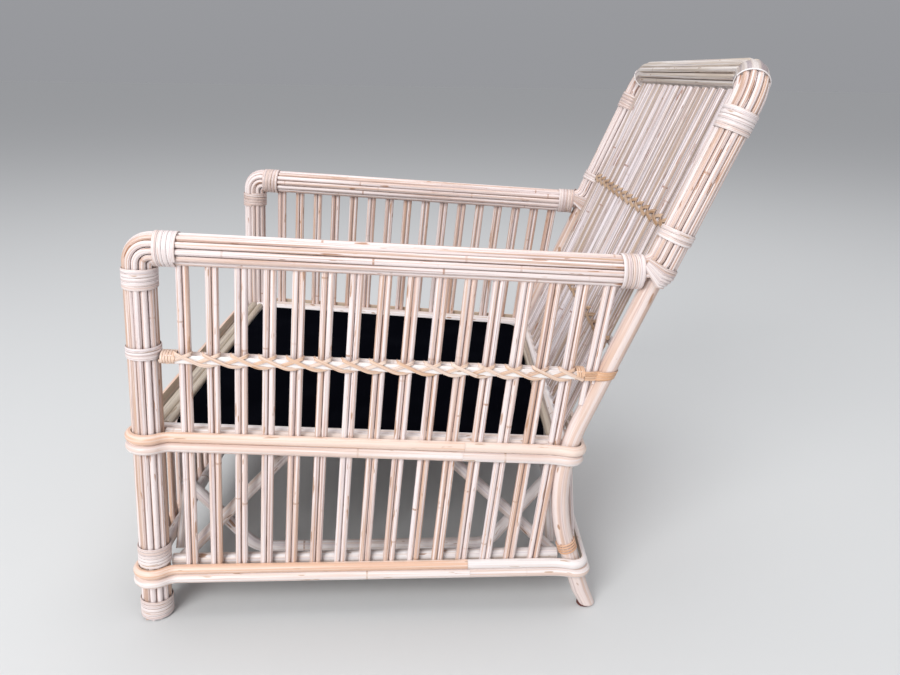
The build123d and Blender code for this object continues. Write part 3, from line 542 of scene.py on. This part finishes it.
bore = bundle + 0.0002
wrap = 0.0015
base_up = 0.072
rail_drop = 0.146
slat_first = 0.054
post_turns = [
    (wound(post_at(0.002), post_at(0.032), bore, 5, first=0.4), 0.35),
    (wound(post_at(base_up + 0.0165), post_at(base_up + 0.048), bore, 6, first=1.1), 0.15),
    (wound(post_at(arm_up - rail_drop), post_at(arm_up - rail_drop + 0.018), bore, 3, first=2.0), 0.25),
    (wound(post_at(arm_up - 0.052), post_at(arm_up - 0.024), bore, 5, first=0.7), 0.2),
]
both("post_windings", post_turns, peel_finish, "post_bindings")
reach = joint_bend * tan(np.arccos(along_arm @ upward) / 2)
ends = elbow + along_arm * (elbow_bend + 0.002), elbow + along_arm * (slat_first - 0.003)
arm_turns = [(wound(*ends, bore, 5, first=0.2), 0.2)]
ends = joint - along_arm * (reach + 0.031), joint - along_arm * (reach + 0.0005)
arm_turns.append((wound(*ends, bore, 5, first=1.4), 0.3))
both("arm_windings", arm_turns, peel_finish, "arm_bindings")
upright_turns = [
    (wound(leg_at(joint[2] + 0.041), leg_at(joint[2] + 0.057), bore, 3, first=0.9), 0.1),
    (wound(leg_at(back_high - 0.069), leg_at(back_high - 0.041), bore, 5, first=0.3), 0.2),
]
q = np.linspace(-0.5 * pi, 0.5 * pi, 22)[:, None]
hoop = (bore + wrap / 2) * (-ahead_back * cos(q) + outward * sin(q))
flank = ahead_back * np.linspace(0.025, 0.004, 6)[:, None]
hoop = np.concatenate([hoop[0] + flank, hoop, hoop[-1] + flank[::-1]])
ahead = np.clip((hoop @ ahead_back) / 0.025, 0, 1)[:, None]
hand = np.sign(hoop @ outward)[:, None]
hoop = hoop - outward * (hand * 0.003 * ahead**2)
for k in range(6):
    up = -0.0137 + 0.0047 * k
    tuck = np.clip(-hoop @ ahead_back, 0, None)[:, None] * max(0.0, 0.34 - 0.13 * k)
    rise = up + (0.0055 + 0.0035 * hand - 0.5 * up) * ahead
    path = joint + hoop + ahead_back * tuck + upward * rise
    strand = carry(path, upward, ring(0.0045, 0.0020, 12, 0.75, pi / 2))
    upright_turns.append((strand, 0.1 + 0.12 * k))
both("upright_windings", upright_turns, peel_finish, "upright_bindings")

# Leg bindings: tan peel round the bare rear leg where the lashed rail ends, and four thin turns of orange
# peel just above the base bands, to hide the nails.
tan_finish = rattan(
    "tan_peel", (0.78, 0.48, 0.31), (0.66, 0.36, 0.19), (0.88, 0.66, 0.50), (0.40, 0.20, 0.09),
    washed=0.6, spacing=0.6, open_share=0.23,
)
ring_s = leg_meets(rail_drop)
ring_z = arm_z(ring_s) - rail_drop
level_back = np.array([-sin(taper), cos(taper), 0])
spokes = (level_back * 1.22, -outward * 1.02)
orange_finish = rattan(
    "orange_peel", (0.74, 0.42, 0.25), (0.64, 0.33, 0.16), (0.84, 0.60, 0.45), (0.40, 0.20, 0.09),
    washed=0.5, spacing=0.6, lines=0.4,
)
low_ring = at(low_leg_s(base_up + 0.023), base_up + 0.023)
down_leg = unit(at(foot, 0) - at(knee, knee_up))
tied = leg_at(ring_z) - level_back * 0.0022
leg_bore = pole / 2 + 0.0002
leg_turns = [
    (wound(tied - upward * 0.0070, tied + upward * 0.0075, leg_bore, 4, lumps=0, spokes=spokes), 0.6),
    (wound(low_ring, low_ring - down_leg * 0.018, leg_bore, 4, lumps=0, fill=0.5), 0.2, 1),
]
both("leg_windings", leg_turns, [tan_finish, orange_finish], "leg_bindings")

# Inner rails: round rattan poles that run inside the slats at seat and base, nailed to the posts and legs.
# The one across the front of the seat is as grey as the beading beside it.
rail = 0.0175
seat_gap = 0.0003
side_out = 0.0045
seat_up = 0.292
rail_in = side_out - cane / 2 - seat_gap - rail / 2
inner_finish = rattan(
    "inner_rail", (0.82, 0.73, 0.70), (0.73, 0.60, 0.53), (0.92, 0.88, 0.88), (0.36, 0.18, 0.09),
    spacing=0.27, lines=0.4,
)
bead_finish = rattan(
    "grey_bead", (0.46, 0.38, 0.29), (0.38, 0.29, 0.20), (0.64, 0.57, 0.48), (0.32, 0.22, 0.13),
    washed=0.6, spacing=0.33,
)
slanting = np.array([0.21, 0.34, 0.55])


def rods(pairs_of_ends, wide, sides=14, inner=0.0):
    """Straight round rods, each with its own shade. Of two in a pair, the inner sides face each other."""
    out = []
    for k, ends in enumerate(pairs_of_ends):
        a, b = np.array(ends)
        tone = luck.random()
        path = stretch(a, b, 0.04)
        square = np.cross(b - a, slanting if abs((b - a)[0]) > 0.05 else across)
        section = ring(wide, sides=sides, inner=inner + pi * (k % 2))
        out.append(grown(path, unit(square), section, tone, 0.015))
    return out


def cross_rail(node):
    """Middle of a straight cross rail and the pair of its ends, from its box."""
    low, high = np.array(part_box(node))
    middle = (low + high) / 2
    half = across * (high - low)[0] / 2
    return middle, [(middle - half, middle + half)]


for name in ("seat_rail_front", "seat_rail_rear", "base_rail_front", "base_rail_rear"):
    middle, ends = cross_rail(name)
    finish = bead_finish if name == "seat_rail_front" else inner_finish
    lay(name + "_pole", rods(ends, rail), finish, name)
side_from = post_s(seat_up) + bundle + 0.0006
side_to = (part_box("left_seat_rail")[1][1] - elbow_y) / cos(taper)


def deck_z(y):
    """Top of the deck at a depth, falling evenly to the rear."""
    return seat_up - (y - elbow_y) * fall


ends = [at(s, deck_z(at(s, 0)[1]) - 0.005, rail_in) for s in (side_from, side_to)]
both("seat_side_pole", rods([ends], rail), inner_finish, "seat_rail")
base_mid = base_up + 0.012
base_from = post_s(base_mid) + bore + wrap + 0.0006
base_to = low_leg_s(base_mid) - pole / 2 - wrap - 0.0045
ends = [at(s, base_mid, rail_in) for s in (base_from, base_to)]
both("base_side_pole", rods([ends], rail), inner_finish, "base_rail")

# Braces: bent rods that stiffen the box under the seat. Each side has an arch with its feet on the base
# and a bow hung between post and leg; front and rear have an arch each.
arch_n = rail_in - rail - seat_gap
bow_n = arch_n - rail - seat_gap
brace_bends = [0.042, 0.042]
base_rear_s = (cross_rail("base_rail_rear")[0][1] - elbow_y) / cos(taper)
arch = [at(post_s(base_up - 0.006) + bundle + 0.003, base_up - 0.006, arch_n)]
arch += [at(s, deck_z(at(s, 0)[1]) - 0.0285, arch_n) for s in (0.328 * knee, 0.723 * knee)]
arch += [at(base_rear_s - 0.7 * rail, base_up - 0.002, arch_n)]
bow = [at(post_s(0.196) + bundle + 0.014, 0.196, bow_n)]
bow += [at(s, base_up + 0.008, bow_n) for s in (0.207 * knee, 0.852 * knee)]
bow += [at(knee + 0.018, knee_up, bow_n)]
for name, points, tone in (("arch", arch, 0.45), ("bow", bow, 0.25)):
    bent = carry(runs(points, brace_bends), outward, ring(rail, sides=16))
    both("side_" + name, [(bent, tone)], inner_finish, name + "_brace")
for end, half in (("front", half_wide), ("rear", at(low_leg_s(base_up), 0)[0])):
    low_box, high_box = np.array(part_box(end + "_arch_brace"))
    top_z = high_box[2] - rail / 2
    near = low_box[1] + rail / 2
    far = high_box[1] - rail / 2
    corners = np.array([(half - 0.062, far, base_up - 0.004), (half * 0.356, near, top_z)])
    bent = runs(np.concatenate([corners * mirror, corners[::-1]]), brace_bends)
    tilt = unit(np.cross(across, [0, near - far, top_z - base_up]))
    strands = [(carry(bent, tilt, ring(rail, sides=16)), 0.6)]
    lay(end + "_arch", strands, inner_finish, end + "_arch_brace")

# Side slats: thin canes in touching pairs, nailed to the rails inside and held between base bands and
# arm, with one short pair that ends on the rear leg.
slat_finish = rattan(
    "slat_cane", (0.77, 0.57, 0.48), (0.66, 0.43, 0.31), (0.93, 0.86, 0.87), (0.44, 0.23, 0.12),
    spacing=0.23, open_share=0.44,
)
slat_pitch = 0.03715
pair = cane / 2 + cane_gap
slat_low = base_up - 0.010
top_drop = bundle - 0.003
count = int((joint_s - slat_first - reach - 0.027) / slat_pitch)
slope_half = np.arctan((foot - knee) / knee_up)
ease = knee_bend * (1 / cos((lean + slope_half) / 2) - 1)
clear = knee + ease - pole / 2 - 0.0015 - 2 * pair / cos(np.radians(7))
last_top = slat_first + slat_pitch * (count - 1)
slope_last = (last_top - clear) / (arm_z(last_top) - knee_up)
base_first = post_s(slat_low) + slat_first
base_pitch = (clear - slope_last * (knee_up - slat_low) - base_first) / (count - 1)
order = np.arange(count)
low_s = base_first + base_pitch * order
high_s = slat_first + slat_pitch * order
lows = at(low_s, slat_low, side_out)
highs = at(high_s, arm_z(high_s) - top_drop, side_out)
share = (arm_z(high_s) - rail_drop - slat_low) / (arm_z(high_s) - slat_low)
crossings = low_s + (high_s - low_s) * share
steps = along_arm * -pair, along_arm * pair
slat_ends = [(low + step, high + step) for low, high in zip(lows, highs) for step in steps]
s = slat_first + slat_pitch * count - 0.001
drop = arm_z(last_top) - knee_up
low = at(s - slope_last * drop - 0.006, arm_z(s) - drop, side_out)
high = at(s, arm_z(s) - top_drop, side_out)
leg_face = joint + ahead_back * (pole / 2 - 0.001)
for step in steps:
    a = low + step
    b = high + step
    cut = ((leg_face - a) @ ahead_back) / ((b - a) @ ahead_back)
    slat_ends.append((a + (b - a) * cut, b))
both("slat_pairs", rods(slat_ends, cane, 12), slat_finish, "side_slats")

# Side rail and its lashing: a lath behind the slats and a flat runner in front, tied together by peach
# peel that crosses at every pair. Tight turns close both ends, and four strips run on to the rear leg.
lath = 0.011
rail_n = side_out - cane / 2 - seat_gap - lath / 2


def side_rail_at(s, h=0.0, n=rail_n):
    """Point beside the lashed rail: s along it, h above its middle, n outward."""
    return at(s, arm_z(s) - rail_drop + h, n)


rail_from = post_s(arm_up - rail_drop) + bundle + wrap + 0.0005
rail_to = leg_s(ring_z) - (pole / 2 + wrap + 0.0005) / cos(lean) - 0.003
runner_half = 0.0017
runner_n = side_out + cane / 2 + seat_gap + runner_half
runner_finish = rattan(
    "pale_runner", (0.87, 0.76, 0.71), (0.83, 0.68, 0.60), (0.94, 0.90, 0.88), (0.52, 0.34, 0.22), lines=0.4
)
braid_finish = rattan(
    "peach_peel", (0.80, 0.58, 0.44), (0.74, 0.48, 0.32), (0.89, 0.75, 0.67), (0.40, 0.20, 0.09),
    washed=0.6, spacing=0.6, open_share=0.24,
)
laths = rods([(side_rail_at(rail_from), side_rail_at(rail_to))], lath)
line = stretch(side_rail_at(rail_from + 0.005, 0, runner_n), side_rail_at(rail_to - 0.002, 0, runner_n), 0.04)
laths.append((carry(line, over_arm, ring(0.012, 2 * runner_half, 12, 0.6)), 0.1, 1))
both("lath_and_runner", laths, [inner_finish, runner_finish], "side_rail")
gap_from = crossings[-1] + 2 * pair + 0.003
gap_to = crossings[-1] + slat_pitch - 2 * pair - 0.003
middle_n = (rail_n - lath / 2 + runner_n + runner_half) / 2
spokes = (outward * 1.75, -over_arm)
rail_turns = []
first_gap = crossings[0] - 2 * pair - 0.001
for a, b, turns, kind in ((rail_from - 0.001, first_gap, 6, 1), (gap_from, gap_to, 4, 0)):
    ends = side_rail_at(a, 0, middle_n), side_rail_at(b, 0, middle_n)
    rail_turns.append((wound(*ends, 0.0069, turns, lumps=0, spokes=spokes), 0.5, kind))
strip = 0.0034
strip_n = runner_n + 0.0024
for h in strip * (np.arange(4) - 1.5):
    line = [(gap_to - 0.001, strip_n), (rail_to - 0.004, strip_n), (ring_s - 0.010, 0.0095)]
    points = np.array([side_rail_at(s, h, n) for s, n in line])
    rail_turns.append((carry(points, over_arm, ring(strip, strip / 2, 10, 0.7, -pi / 2)), 0.55 + 20 * h))
both("lath_windings", rail_turns, [tan_finish, braid_finish], "side_rail_wraps")


def ribbon(points, wide, thick, lay_on):
    """Flat strip through a few points, eased between them by a cubic that passes through each."""
    ends = np.concatenate([points[:1], points, points[-1:]])
    q = np.linspace(0, 1, 7)[:-1, None, None]
    a, b, c, d = (ends[i:len(ends) - 3 + i] for i in range(4))
    curve = 0.5 * (2 * b + (c - a) * q + (2 * a - 5 * b + 4 * c - d) * q**2 + (3 * b - a - 3 * c + d) * q**3)
    curve = np.concatenate([curve.transpose(1, 0, 2).reshape(-1, 3), points[-1:]])
    along = unit(np.gradient(curve, axis=0))
    flat = unit(np.cross(np.broadcast_to(lay_on, curve.shape), along))
    return carry(curve, flat, ring(wide, thick, 10, 0.7, -pi / 2))


on = runner_n + runner_half
# The two strips at a pair, as points along the rail, above its middle and out from the runner's face.
falling = [(-0.011, 0.0088, -0.006), (-0.0085, 0.0082, 0.001), (0.008, 0.0008, 0.0021)]
falling += [(0.023, -0.006, 0.001), (0.034, -0.007, -0.0008), (0.043, -0.005, -0.004)]
climbing = [(-0.0225, -0.0046, -0.001), (-0.008, 0.0012, 0.001), (0.0085, 0.0082, 0.001)]
climbing += [(0.011, 0.0088, -0.006)]
lashes = []
for k, s in enumerate(crossings):
    if k == count - 1:
        falling = falling[:4]
    for line, tone in ((falling, 0.25), (climbing, 0.55)):
        points = [side_rail_at(s + x, h, on + n) for x, h, n in line]
        lashes.append((ribbon(points, 0.0052, 0.0014, outward), (tone + 0.09 * k) % 1))
both("rail_lashing", lashes, braid_finish, "side_lashing")

# Bands: canes split in half and bent round the whole chair, two at seat level and two at the base, each
#  in a front and a rear length nailed through the slats. The upper ones are tan, the lower ones and the
#  rear length of the upper base band whiter, and the split side of each is raw wood, darkened to olive grey
#  by painted shade.
tall, deep = 0.0146, 0.008
end_out = 0.014
leg_round = pole / 2 + 0.0024
leg_ease = 0.11
# The split side and the edges beside it get painted shade in olive grey.
split = {"open_share": 0.40, "lines": 0.25, "shade_soil_colour": (0.48, 0.40, 0.29)}
tan_band = rattan(
    "tan_band", (0.85, 0.63, 0.51), (0.80, 0.51, 0.36), (0.91, 0.78, 0.71), (0.50, 0.30, 0.18),
    washed=0.6, spacing=0.37, **split,
)
pale_band = rattan(
    "pale_band", (0.82, 0.69, 0.64), (0.76, 0.58, 0.50), (0.91, 0.86, 0.85), (0.52, 0.34, 0.22),
    spacing=0.41, **split,
)


def bow_between(centre, a, b):
    """Arc from a to b about a centre: the two spokes weighed by the sines of the shares of the turn."""
    p = a - centre
    r = b - centre
    turn = np.arccos(np.clip(unit(p) @ unit(r), -1, 1))
    q = np.linspace(0, turn, int(turn / 0.12) + 3)[:, None]
    return centre + (p * sin(turn - q) + r * sin(q)) / sin(turn)


def round_post(centre, way_in, way_out, off_in, off_out, radius, ease_bend=0.030):
    """A band that comes along one side, eases out round a post and leaves along the next side: an arc
    that bends out, one about the post, and one that bends back in, each tangent to the next."""
    big = radius + ease_bend
    spots = []
    for way, off, hand in ((way_in, off_in, -1), (way_out, off_out, 1)):
        right = np.array([way[1], -way[0]])
        far = centre + right * off + way * (hand * np.sqrt(big**2 - (off + ease_bend) ** 2))
        bend_hub = far + right * ease_bend
        spots.append((bend_hub, far, centre + (bend_hub - centre) * (radius / big)))
    (hub_in, start, on), (hub_out, end, away) = spots
    bows = [bow_between(hub_in, start, on), bow_between(centre, on, away)]
    return np.concatenate([bows[0], bows[1][1:], bow_between(hub_out, away, end)[1:]])


def leg_line(z):
    """Rear leg as bent: the lower run, the arc at the knee and the upper run."""
    bend = lean + slope_half
    grip = knee_bend * tan(bend / 2)
    if z >= knee_up + grip * cos(lean):
        return leg_s(z)
    if z <= knee_up - grip * cos(slope_half):
        return low_leg_s(z)
    throw = knee_bend / cos(bend / 2)
    middle = (lean - slope_half) / 2
    rise = z - knee_up + throw * sin(middle)
    return knee + throw * cos(middle) - np.sqrt(knee_bend**2 - rise**2)


def band_loop(level, slope, side):
    """Front and rear length of one band, as strands in its own falling plane. Its heights at post and
    leg hang on their places there, and settle in a few rounds."""
    up = side * (tall / 2 + 0.0001)
    spots = []
    for line, back in ((post_s, 0.0), (leg_line, 0.0016)):
        z = level + up
        for step in range(8):
            z = level + up - tan(slope) * (at(line(z), 0)[1] - elbow_y)
        spot = at(line(z) + back, 0) - (0, elbow_y, 0)
        spots.append(np.array([spot[0], (spot[1] - up * sin(slope)) / cos(slope)]))
    post, leg_spot = spots
    east = np.array([1.0, 0.0])
    side_way = np.array([-sin(taper), cos(taper)])
    side_off = side_out + cane / 2 + seat_gap
    post_round = bundle + seat_gap + 0.0008
    front_off = min(end_out + cane / 2 + seat_gap + 0.0008, post_round - 0.0004)
    front = round_post(post, east, side_way, front_off, side_off, post_round)
    rear = round_post(leg_spot, side_way, -east, side_off, leg_round - 0.0004, leg_round, leg_ease)
    join = front[-1] + (rear[0] - front[-1]) * 0.78
    slit = side_way * 0.00015
    flip = mirror[:2]
    lengths = [
        [(join - slit) * flip, front[::-1] * flip, front, join - slit],
        [join + slit, rear, rear[::-1] * flip, (join + slit) * flip],
    ]
    a = np.linspace(0, pi, 11)
    outline = np.stack([tall / 2 * cos(a), deep * sin(a) ** 0.9], -1)
    outline = np.concatenate([[[tall / 4, 0.0]], outline, [[-tall / 4, 0.0]]])
    normal = np.array([0, sin(slope), cos(slope)])
    out = []
    for first, one, two, last in lengths:
        parts = [stretch(first, one[0], 0.03), one[1:-1], stretch(one[-1], two[0], 0.03), two[1:-1]]
        flat = np.concatenate(parts + [stretch(two[-1], last, 0.03)])
        path = np.stack([flat[:, 0], flat[:, 1] * cos(slope), level - flat[:, 1] * sin(slope)], -1)
        path = path + normal * up + (0, elbow_y, 0)
        out.append((carry(path, normal, outline), luck.random()))
    return out


bands = [("seat_band", seat_up - 0.009, fall_angle, 0.45, 0), ("base_band", base_up, 0.0, 0.95, 1)]
for name, level, slope, tone, whiter in bands:
    front, rear = band_loop(level, slope, 1)
    strands = [(front[0], tone), (*rear, whiter)]
    lay(name + "_top_cane", strands, [tan_band, pale_band], name + "_upper")
    lay(name + "_under_cane", band_loop(level, slope, -1), pale_band, name + "_lower")

# Front, rear and back slats: the same thin canes in pairs, upright under the seat and leaning with the
# back, where they run from the rear seat rail up under the top rail.
pair_pitch = 0.038


def even(half, margin):
    """Pair centres between two posts, in the number of even steps nearest to the pitch."""
    span_all = 2 * (half - margin)
    number = int(round(span_all / pair_pitch))
    return -half + margin + span_all * np.arange(number + 1) / number


def pairs_between(x_low, x_high, low, high):
    """Ends of the two canes of each pair, from a lower to an upper line."""
    places = [(a + step, b + step) for a, b in zip(x_low, x_high) for step in (-pair, pair)]
    return [(low + across * a, high + across * b) for a, b in places]


def ends_of(node, lean_back):
    """Middle of the lower and upper end of a row of slats, from its box."""
    low, high = np.array(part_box(node))
    slope = (high[1] - low[1] - cane) / (high[2] - low[2])
    near, far = low[1] + cane / 2, high[1] - cane / 2
    near, far = (near, far) if lean_back else (far, near)
    trim = cane * abs(slope) / 2
    return np.array([0, near, low[2] + trim]), np.array([0, far, high[2] - trim])


base_leg_x = at(leg_line(base_up), 0)[0]
for end, half, margin in (("front", half_wide, 0.050), ("rear", base_leg_x, 0.044)):
    rows = even(half, margin)
    ends = pairs_between(rows, rows, *ends_of(end + "_slats", end == "front"))
    lay(end + "_pairs", rods(ends, cane, 12, -pi / 2), slat_finish, end + "_slats")
back_low, back_top = ends_of("back_slats", True)
back_rows = even(top_corner[0], 0.056)
foot_spread = at(leg_s(back_low[2]), 0)[0] / top_corner[0]
back_finish = rattan(
    "back_cane", (0.64, 0.51, 0.48), (0.48, 0.35, 0.265), (0.93, 0.87, 0.91), (0.30, 0.11, 0.06),
    spacing=0.26, open_share=0.38, lines=0.8,
)
ends = pairs_between(back_rows * foot_spread, back_rows, back_low, back_top)
lay("back_pairs", rods(ends, cane, 12, -pi / 2), back_finish, "back_slats")

# Back rails: two round laths across the back, behind the slats. Golden peel, crossed on the front, ties
# every pair to them.
gold_finish = rattan(
    "golden_peel", (0.56, 0.37, 0.23), (0.44, 0.26, 0.14), (0.68, 0.52, 0.40), (0.26, 0.13, 0.05),
    washed=0.4, spacing=0.6, open_share=0.23,
)
for label in ("lower", "upper"):
    middle, ends = cross_rail("back_rail_" + label)
    lay("back_lath_" + label, rods(ends, lath), inner_finish, "back_rail_" + label)
    share = (middle[2] - back_low[2]) / (back_high - back_low[2])
    half_line = [(0.0185, 0.0072, -0.004), (0.0110, 0.0046, 0.0)]
    crosses = []
    for k, x in enumerate(back_rows * (foot_spread + (1 - foot_spread) * share)):
        centre = middle * (0, 1, 1) + across * x + back_face * (lath / 2 + seat_gap + cane)
        for way, lift in ((1, 0.0010), (-1, 0.0024)):
            line = [(-a, -b, c) for a, b, c in half_line] + [(0, 0, lift)] + half_line[::-1]
            points = [centre + across * a + back_up * (way * b) + back_face * c for a, b, c in line]
            crosses.append((ribbon(points, 0.0060, 0.0015, back_face), (0.3 + 0.13 * k + 0.2 * way) % 1))
    lay("back_ties_" + label, crosses, gold_finish, "back_lashing_" + label)

# Beading: slim round canes nailed round the edge of the deck, greyer at front and rear than at the sides,
# where they run through the corners.
bead = 0.013
bead_sink = 0.003
bead_n = rail_in - rail / 2 - seat_gap - bead / 2
front_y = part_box("seat_rail_front")[1][1] + seat_gap + bead / 2
rear_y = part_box("seat_rail_rear")[0][1] - seat_gap - bead / 2


def inner_half(y, n):
    """Half the width between the sides at a depth y, n outward from their planes."""
    return half_wide - (y - elbow_y) * tan(taper) + n / cos(taper)


bead_ends = []
for y in (front_y, rear_y):
    half = inner_half(y, bead_n) - bead / 2 - seat_gap
    bead_ends.append([(x, y, deck_z(y) - bead_sink) for x in (-half, half)])
for hand in (1, -1):
    depths = front_y - bead / 2, rear_y + bead / 2
    bead_ends.append([(hand * inner_half(y, bead_n), y, deck_z(y) - bead_sink) for y in depths])
beads = [(*strand, k // 2) for k, strand in enumerate(rods(bead_ends, bead))]
lay("deck_beading", beads, [bead_finish, inner_finish], "seat_beading")

# Deck: near-black cloth drawn tight over a thin, slightly crowned pad and tacked down at its edges, inside
# the beading.
deck_front = front_y + bead / 2 + seat_gap
deck_rear = rear_y - bead / 2 - seat_gap
deck_n = bead_n - bead / 2 - seat_gap
deck_thick = 0.011
q = 2 * pi * np.arange(120) / 120
corner_power = 0.07
deck_long = deck_rear - deck_front
middle = np.array([0, (deck_front + deck_rear) / 2])
depth_y = middle[1] + deck_long / 2 * squared(sin(q), corner_power)
outline = np.stack([inner_half(depth_y, deck_n) * squared(cos(q), corner_power), depth_y], -1)
# Rings of the deck, by size and height, from the middle of its underside round the edge and over its top.
sizes = np.array([0.05, 0.5, 0.97, 0.995, 1.0, 1.0, 0.996, 0.985, 0.96, 0.9, 0.8, 0.65, 0.5, 0.35, 0.2, 0.08])
heights = 0.0001 * np.array([0, 0, 0, 12, 40, 62, 82, 93, 99, 104, 108, 113, 117, 120, 122, 123])
layers = middle + sizes[:, None, None] * (outline - middle)
ups = deck_z(layers[..., 1]) - deck_thick + heights[:, None]
deck = np.concatenate([layers, ups[..., None]], -1)
cloth, tree, surface = new_finish("black_deck_cloth")
here = add(tree, "TexCoord")["Object"]
where = add(tree, "SeparateXYZ", {0: here})
thread = 0.0016
warp, weft = (sums(tree, "SINE", sums(tree, "MULTIPLY", where[k], 2 * pi / thread)) for k in (0, 1))
weave = sums(tree, "MULTIPLY", warp, weft)
lint = add(tree, "TexNoise", {"Vector": here, "Scale": 14.0, "Detail": 5.0})[0]
dust = span(tree, lint, 0.45, 0.75)
colour = blend(tree, dust, (0.0018, 0.0020, 0.0034), (0.0030, 0.0033, 0.0052))
colour = blend(tree, span(tree, weave, -1.0, 1.0, 0.0, 0.2), colour, (0.006, 0.0065, 0.010))
gloss = span(tree, weave, -1.0, 1.0, 0.9, 0.78)
normal = relief(tree, weave, 0.35, 0.0003)
feed(tree, surface, {"Base Color": colour, "Roughness": gloss, "Normal": normal, "Specular IOR Level": 0.0})
panel = lay("deck_panel", [(deck, 0.5)], cloth, "seat_deck")

# Webbing: dark woven straps that carry the deck, five each way, laced over one another and tacked up under
# the beading.
strap_finish, tree, surface = new_finish("woven_strap")
where = add(tree, "SeparateXYZ", {0: add(tree, "TexCoord")["Object"]})
ribs = 0.004
rib = sums(tree, "SINE", sums(tree, "MULTIPLY", sums(tree, "ADD", where[0], where[1]), 2 * pi / ribs))
colour = blend(tree, span(tree, rib, -1.0, 1.0), (0.030, 0.028, 0.026), (0.065, 0.060, 0.054))
feed(tree, surface, {"Base Color": colour, "Roughness": 0.8, "Normal": relief(tree, rib, 0.4, 0.0004)})
strap = ring(0.048, 0.0016, 12, 0.4)
strap_pitch = 0.096
under = deck_thick + seat_gap
straps = []
slope_back = unit([0, 1.0, -fall])
level_up = unit([0, fall, 1.0])
for i in range(5):
    y = np.linspace(deck_front - bead, deck_rear + bead, 40)
    line = np.stack(np.broadcast_arrays((i - 2) * strap_pitch, y, deck_z(y)), -1)
    lace = 0.0004 * cos(pi * (y - deck_front) / (deck_long / 5) + i * pi)
    line = line - level_up * (under + 0.002 + lace[:, None])
    straps.append((carry(line, across, strap), 0.3 + 0.1 * i))
for i in range(5):
    y = deck_front + deck_long * (i + 0.5) / 5
    half = inner_half(y, bead_n) + bead * 0.3
    line = np.stack(np.broadcast_arrays(np.linspace(-half, half, 40), y, deck_z(y)), -1)
    line = line - level_up * (under + 0.0042)
    straps.append((carry(line, slope_back, strap), 0.2 + 0.1 * i))
lay("under_webbing", straps, strap_finish, "seat_webbing")

# Floor and light: a plain pale ground under the chair, a soft grey sky all round, and two broad lamps, one
# above and one on the camera's left.
ground = bpy.data.meshes.new("floor")
wide = 40
corners = [(-wide, -wide, 0), (wide, -wide, 0), (wide, wide, 0), (-wide, wide, 0)]
ground.from_pydata(corners, [], [(0, 1, 2, 3)])
floor = new_object("floor", ground)
floor_finish, tree, surface = new_finish("pale_floor")
feed(tree, surface, {"Base Color": (0.66, 0.67, 0.67), "Specular IOR Level": 0.0})
ground.materials.append(floor_finish)
world = bpy.data.worlds.new("studio")
bpy.context.scene.world = world
world.use_nodes = True
tree = world.node_tree
height = add(tree, "SeparateXYZ", {0: add(tree, "TexCoord")["Generated"]})[2]
sky = blend(tree, span(tree, height, 0.0, 0.7), (0.568, 0.576, 0.609), (0.92, 0.92, 0.96))
feed(tree, tree.nodes["Background"], {"Color": sky, "Strength": 0.55})
skyward = np.array([0, 0, 1.0])


def stand(name, data, right, up, back, spot):
    """A lamp or camera at a spot, with its own three axes along right, up and back."""
    pose = np.eye(4)
    pose[:3] = np.stack([right, up, back, spot], -1)
    body = new_object(name, data)
    body.matrix_world = Matrix(pose.tolist())
    return body


for name, spot, aim, size, power in (
    ("key", (3.9, -2.04, 2.95), (0, 0, 0.35), 2.4, 192),
    ("top", (-0.5, 0.5, 4.9), (0, 0, 0.3), 3.7, 94),
):
    lamp = bpy.data.lights.new(name, "AREA")
    lamp.energy = power
    lamp.size = size
    back = unit(np.subtract(spot, aim))
    right = unit(np.cross(skyward, back))
    stand(name, lamp, right, np.cross(back, right), back, spot)
bpy.context.scene.view_settings.view_transform = "Standard"

# Camera: beside the chair's left arm and as high as the top rail, looking down on the chair as the
# photograph does.
yaw, pitch, roll = np.radians([0.56, 18.47, 0.77])
ahead = np.array([-cos(yaw), sin(yaw), 0])
right = np.array([sin(yaw), cos(yaw), 0])
look = cos(pitch) * ahead - sin(pitch) * skyward
up = cos(pitch) * skyward + sin(pitch) * ahead
right, up = cos(roll) * right + sin(roll) * up, cos(roll) * up - sin(roll) * right
lens = bpy.data.cameras.new("view")
lens.lens = 32.0
lens.sensor_width = 36.0
lens.clip_start = 0.02
eye = [1.3324, elbow_y + 0.388, 0.7683]
bpy.context.scene.camera = stand("view", lens, right, up, -look, eye)
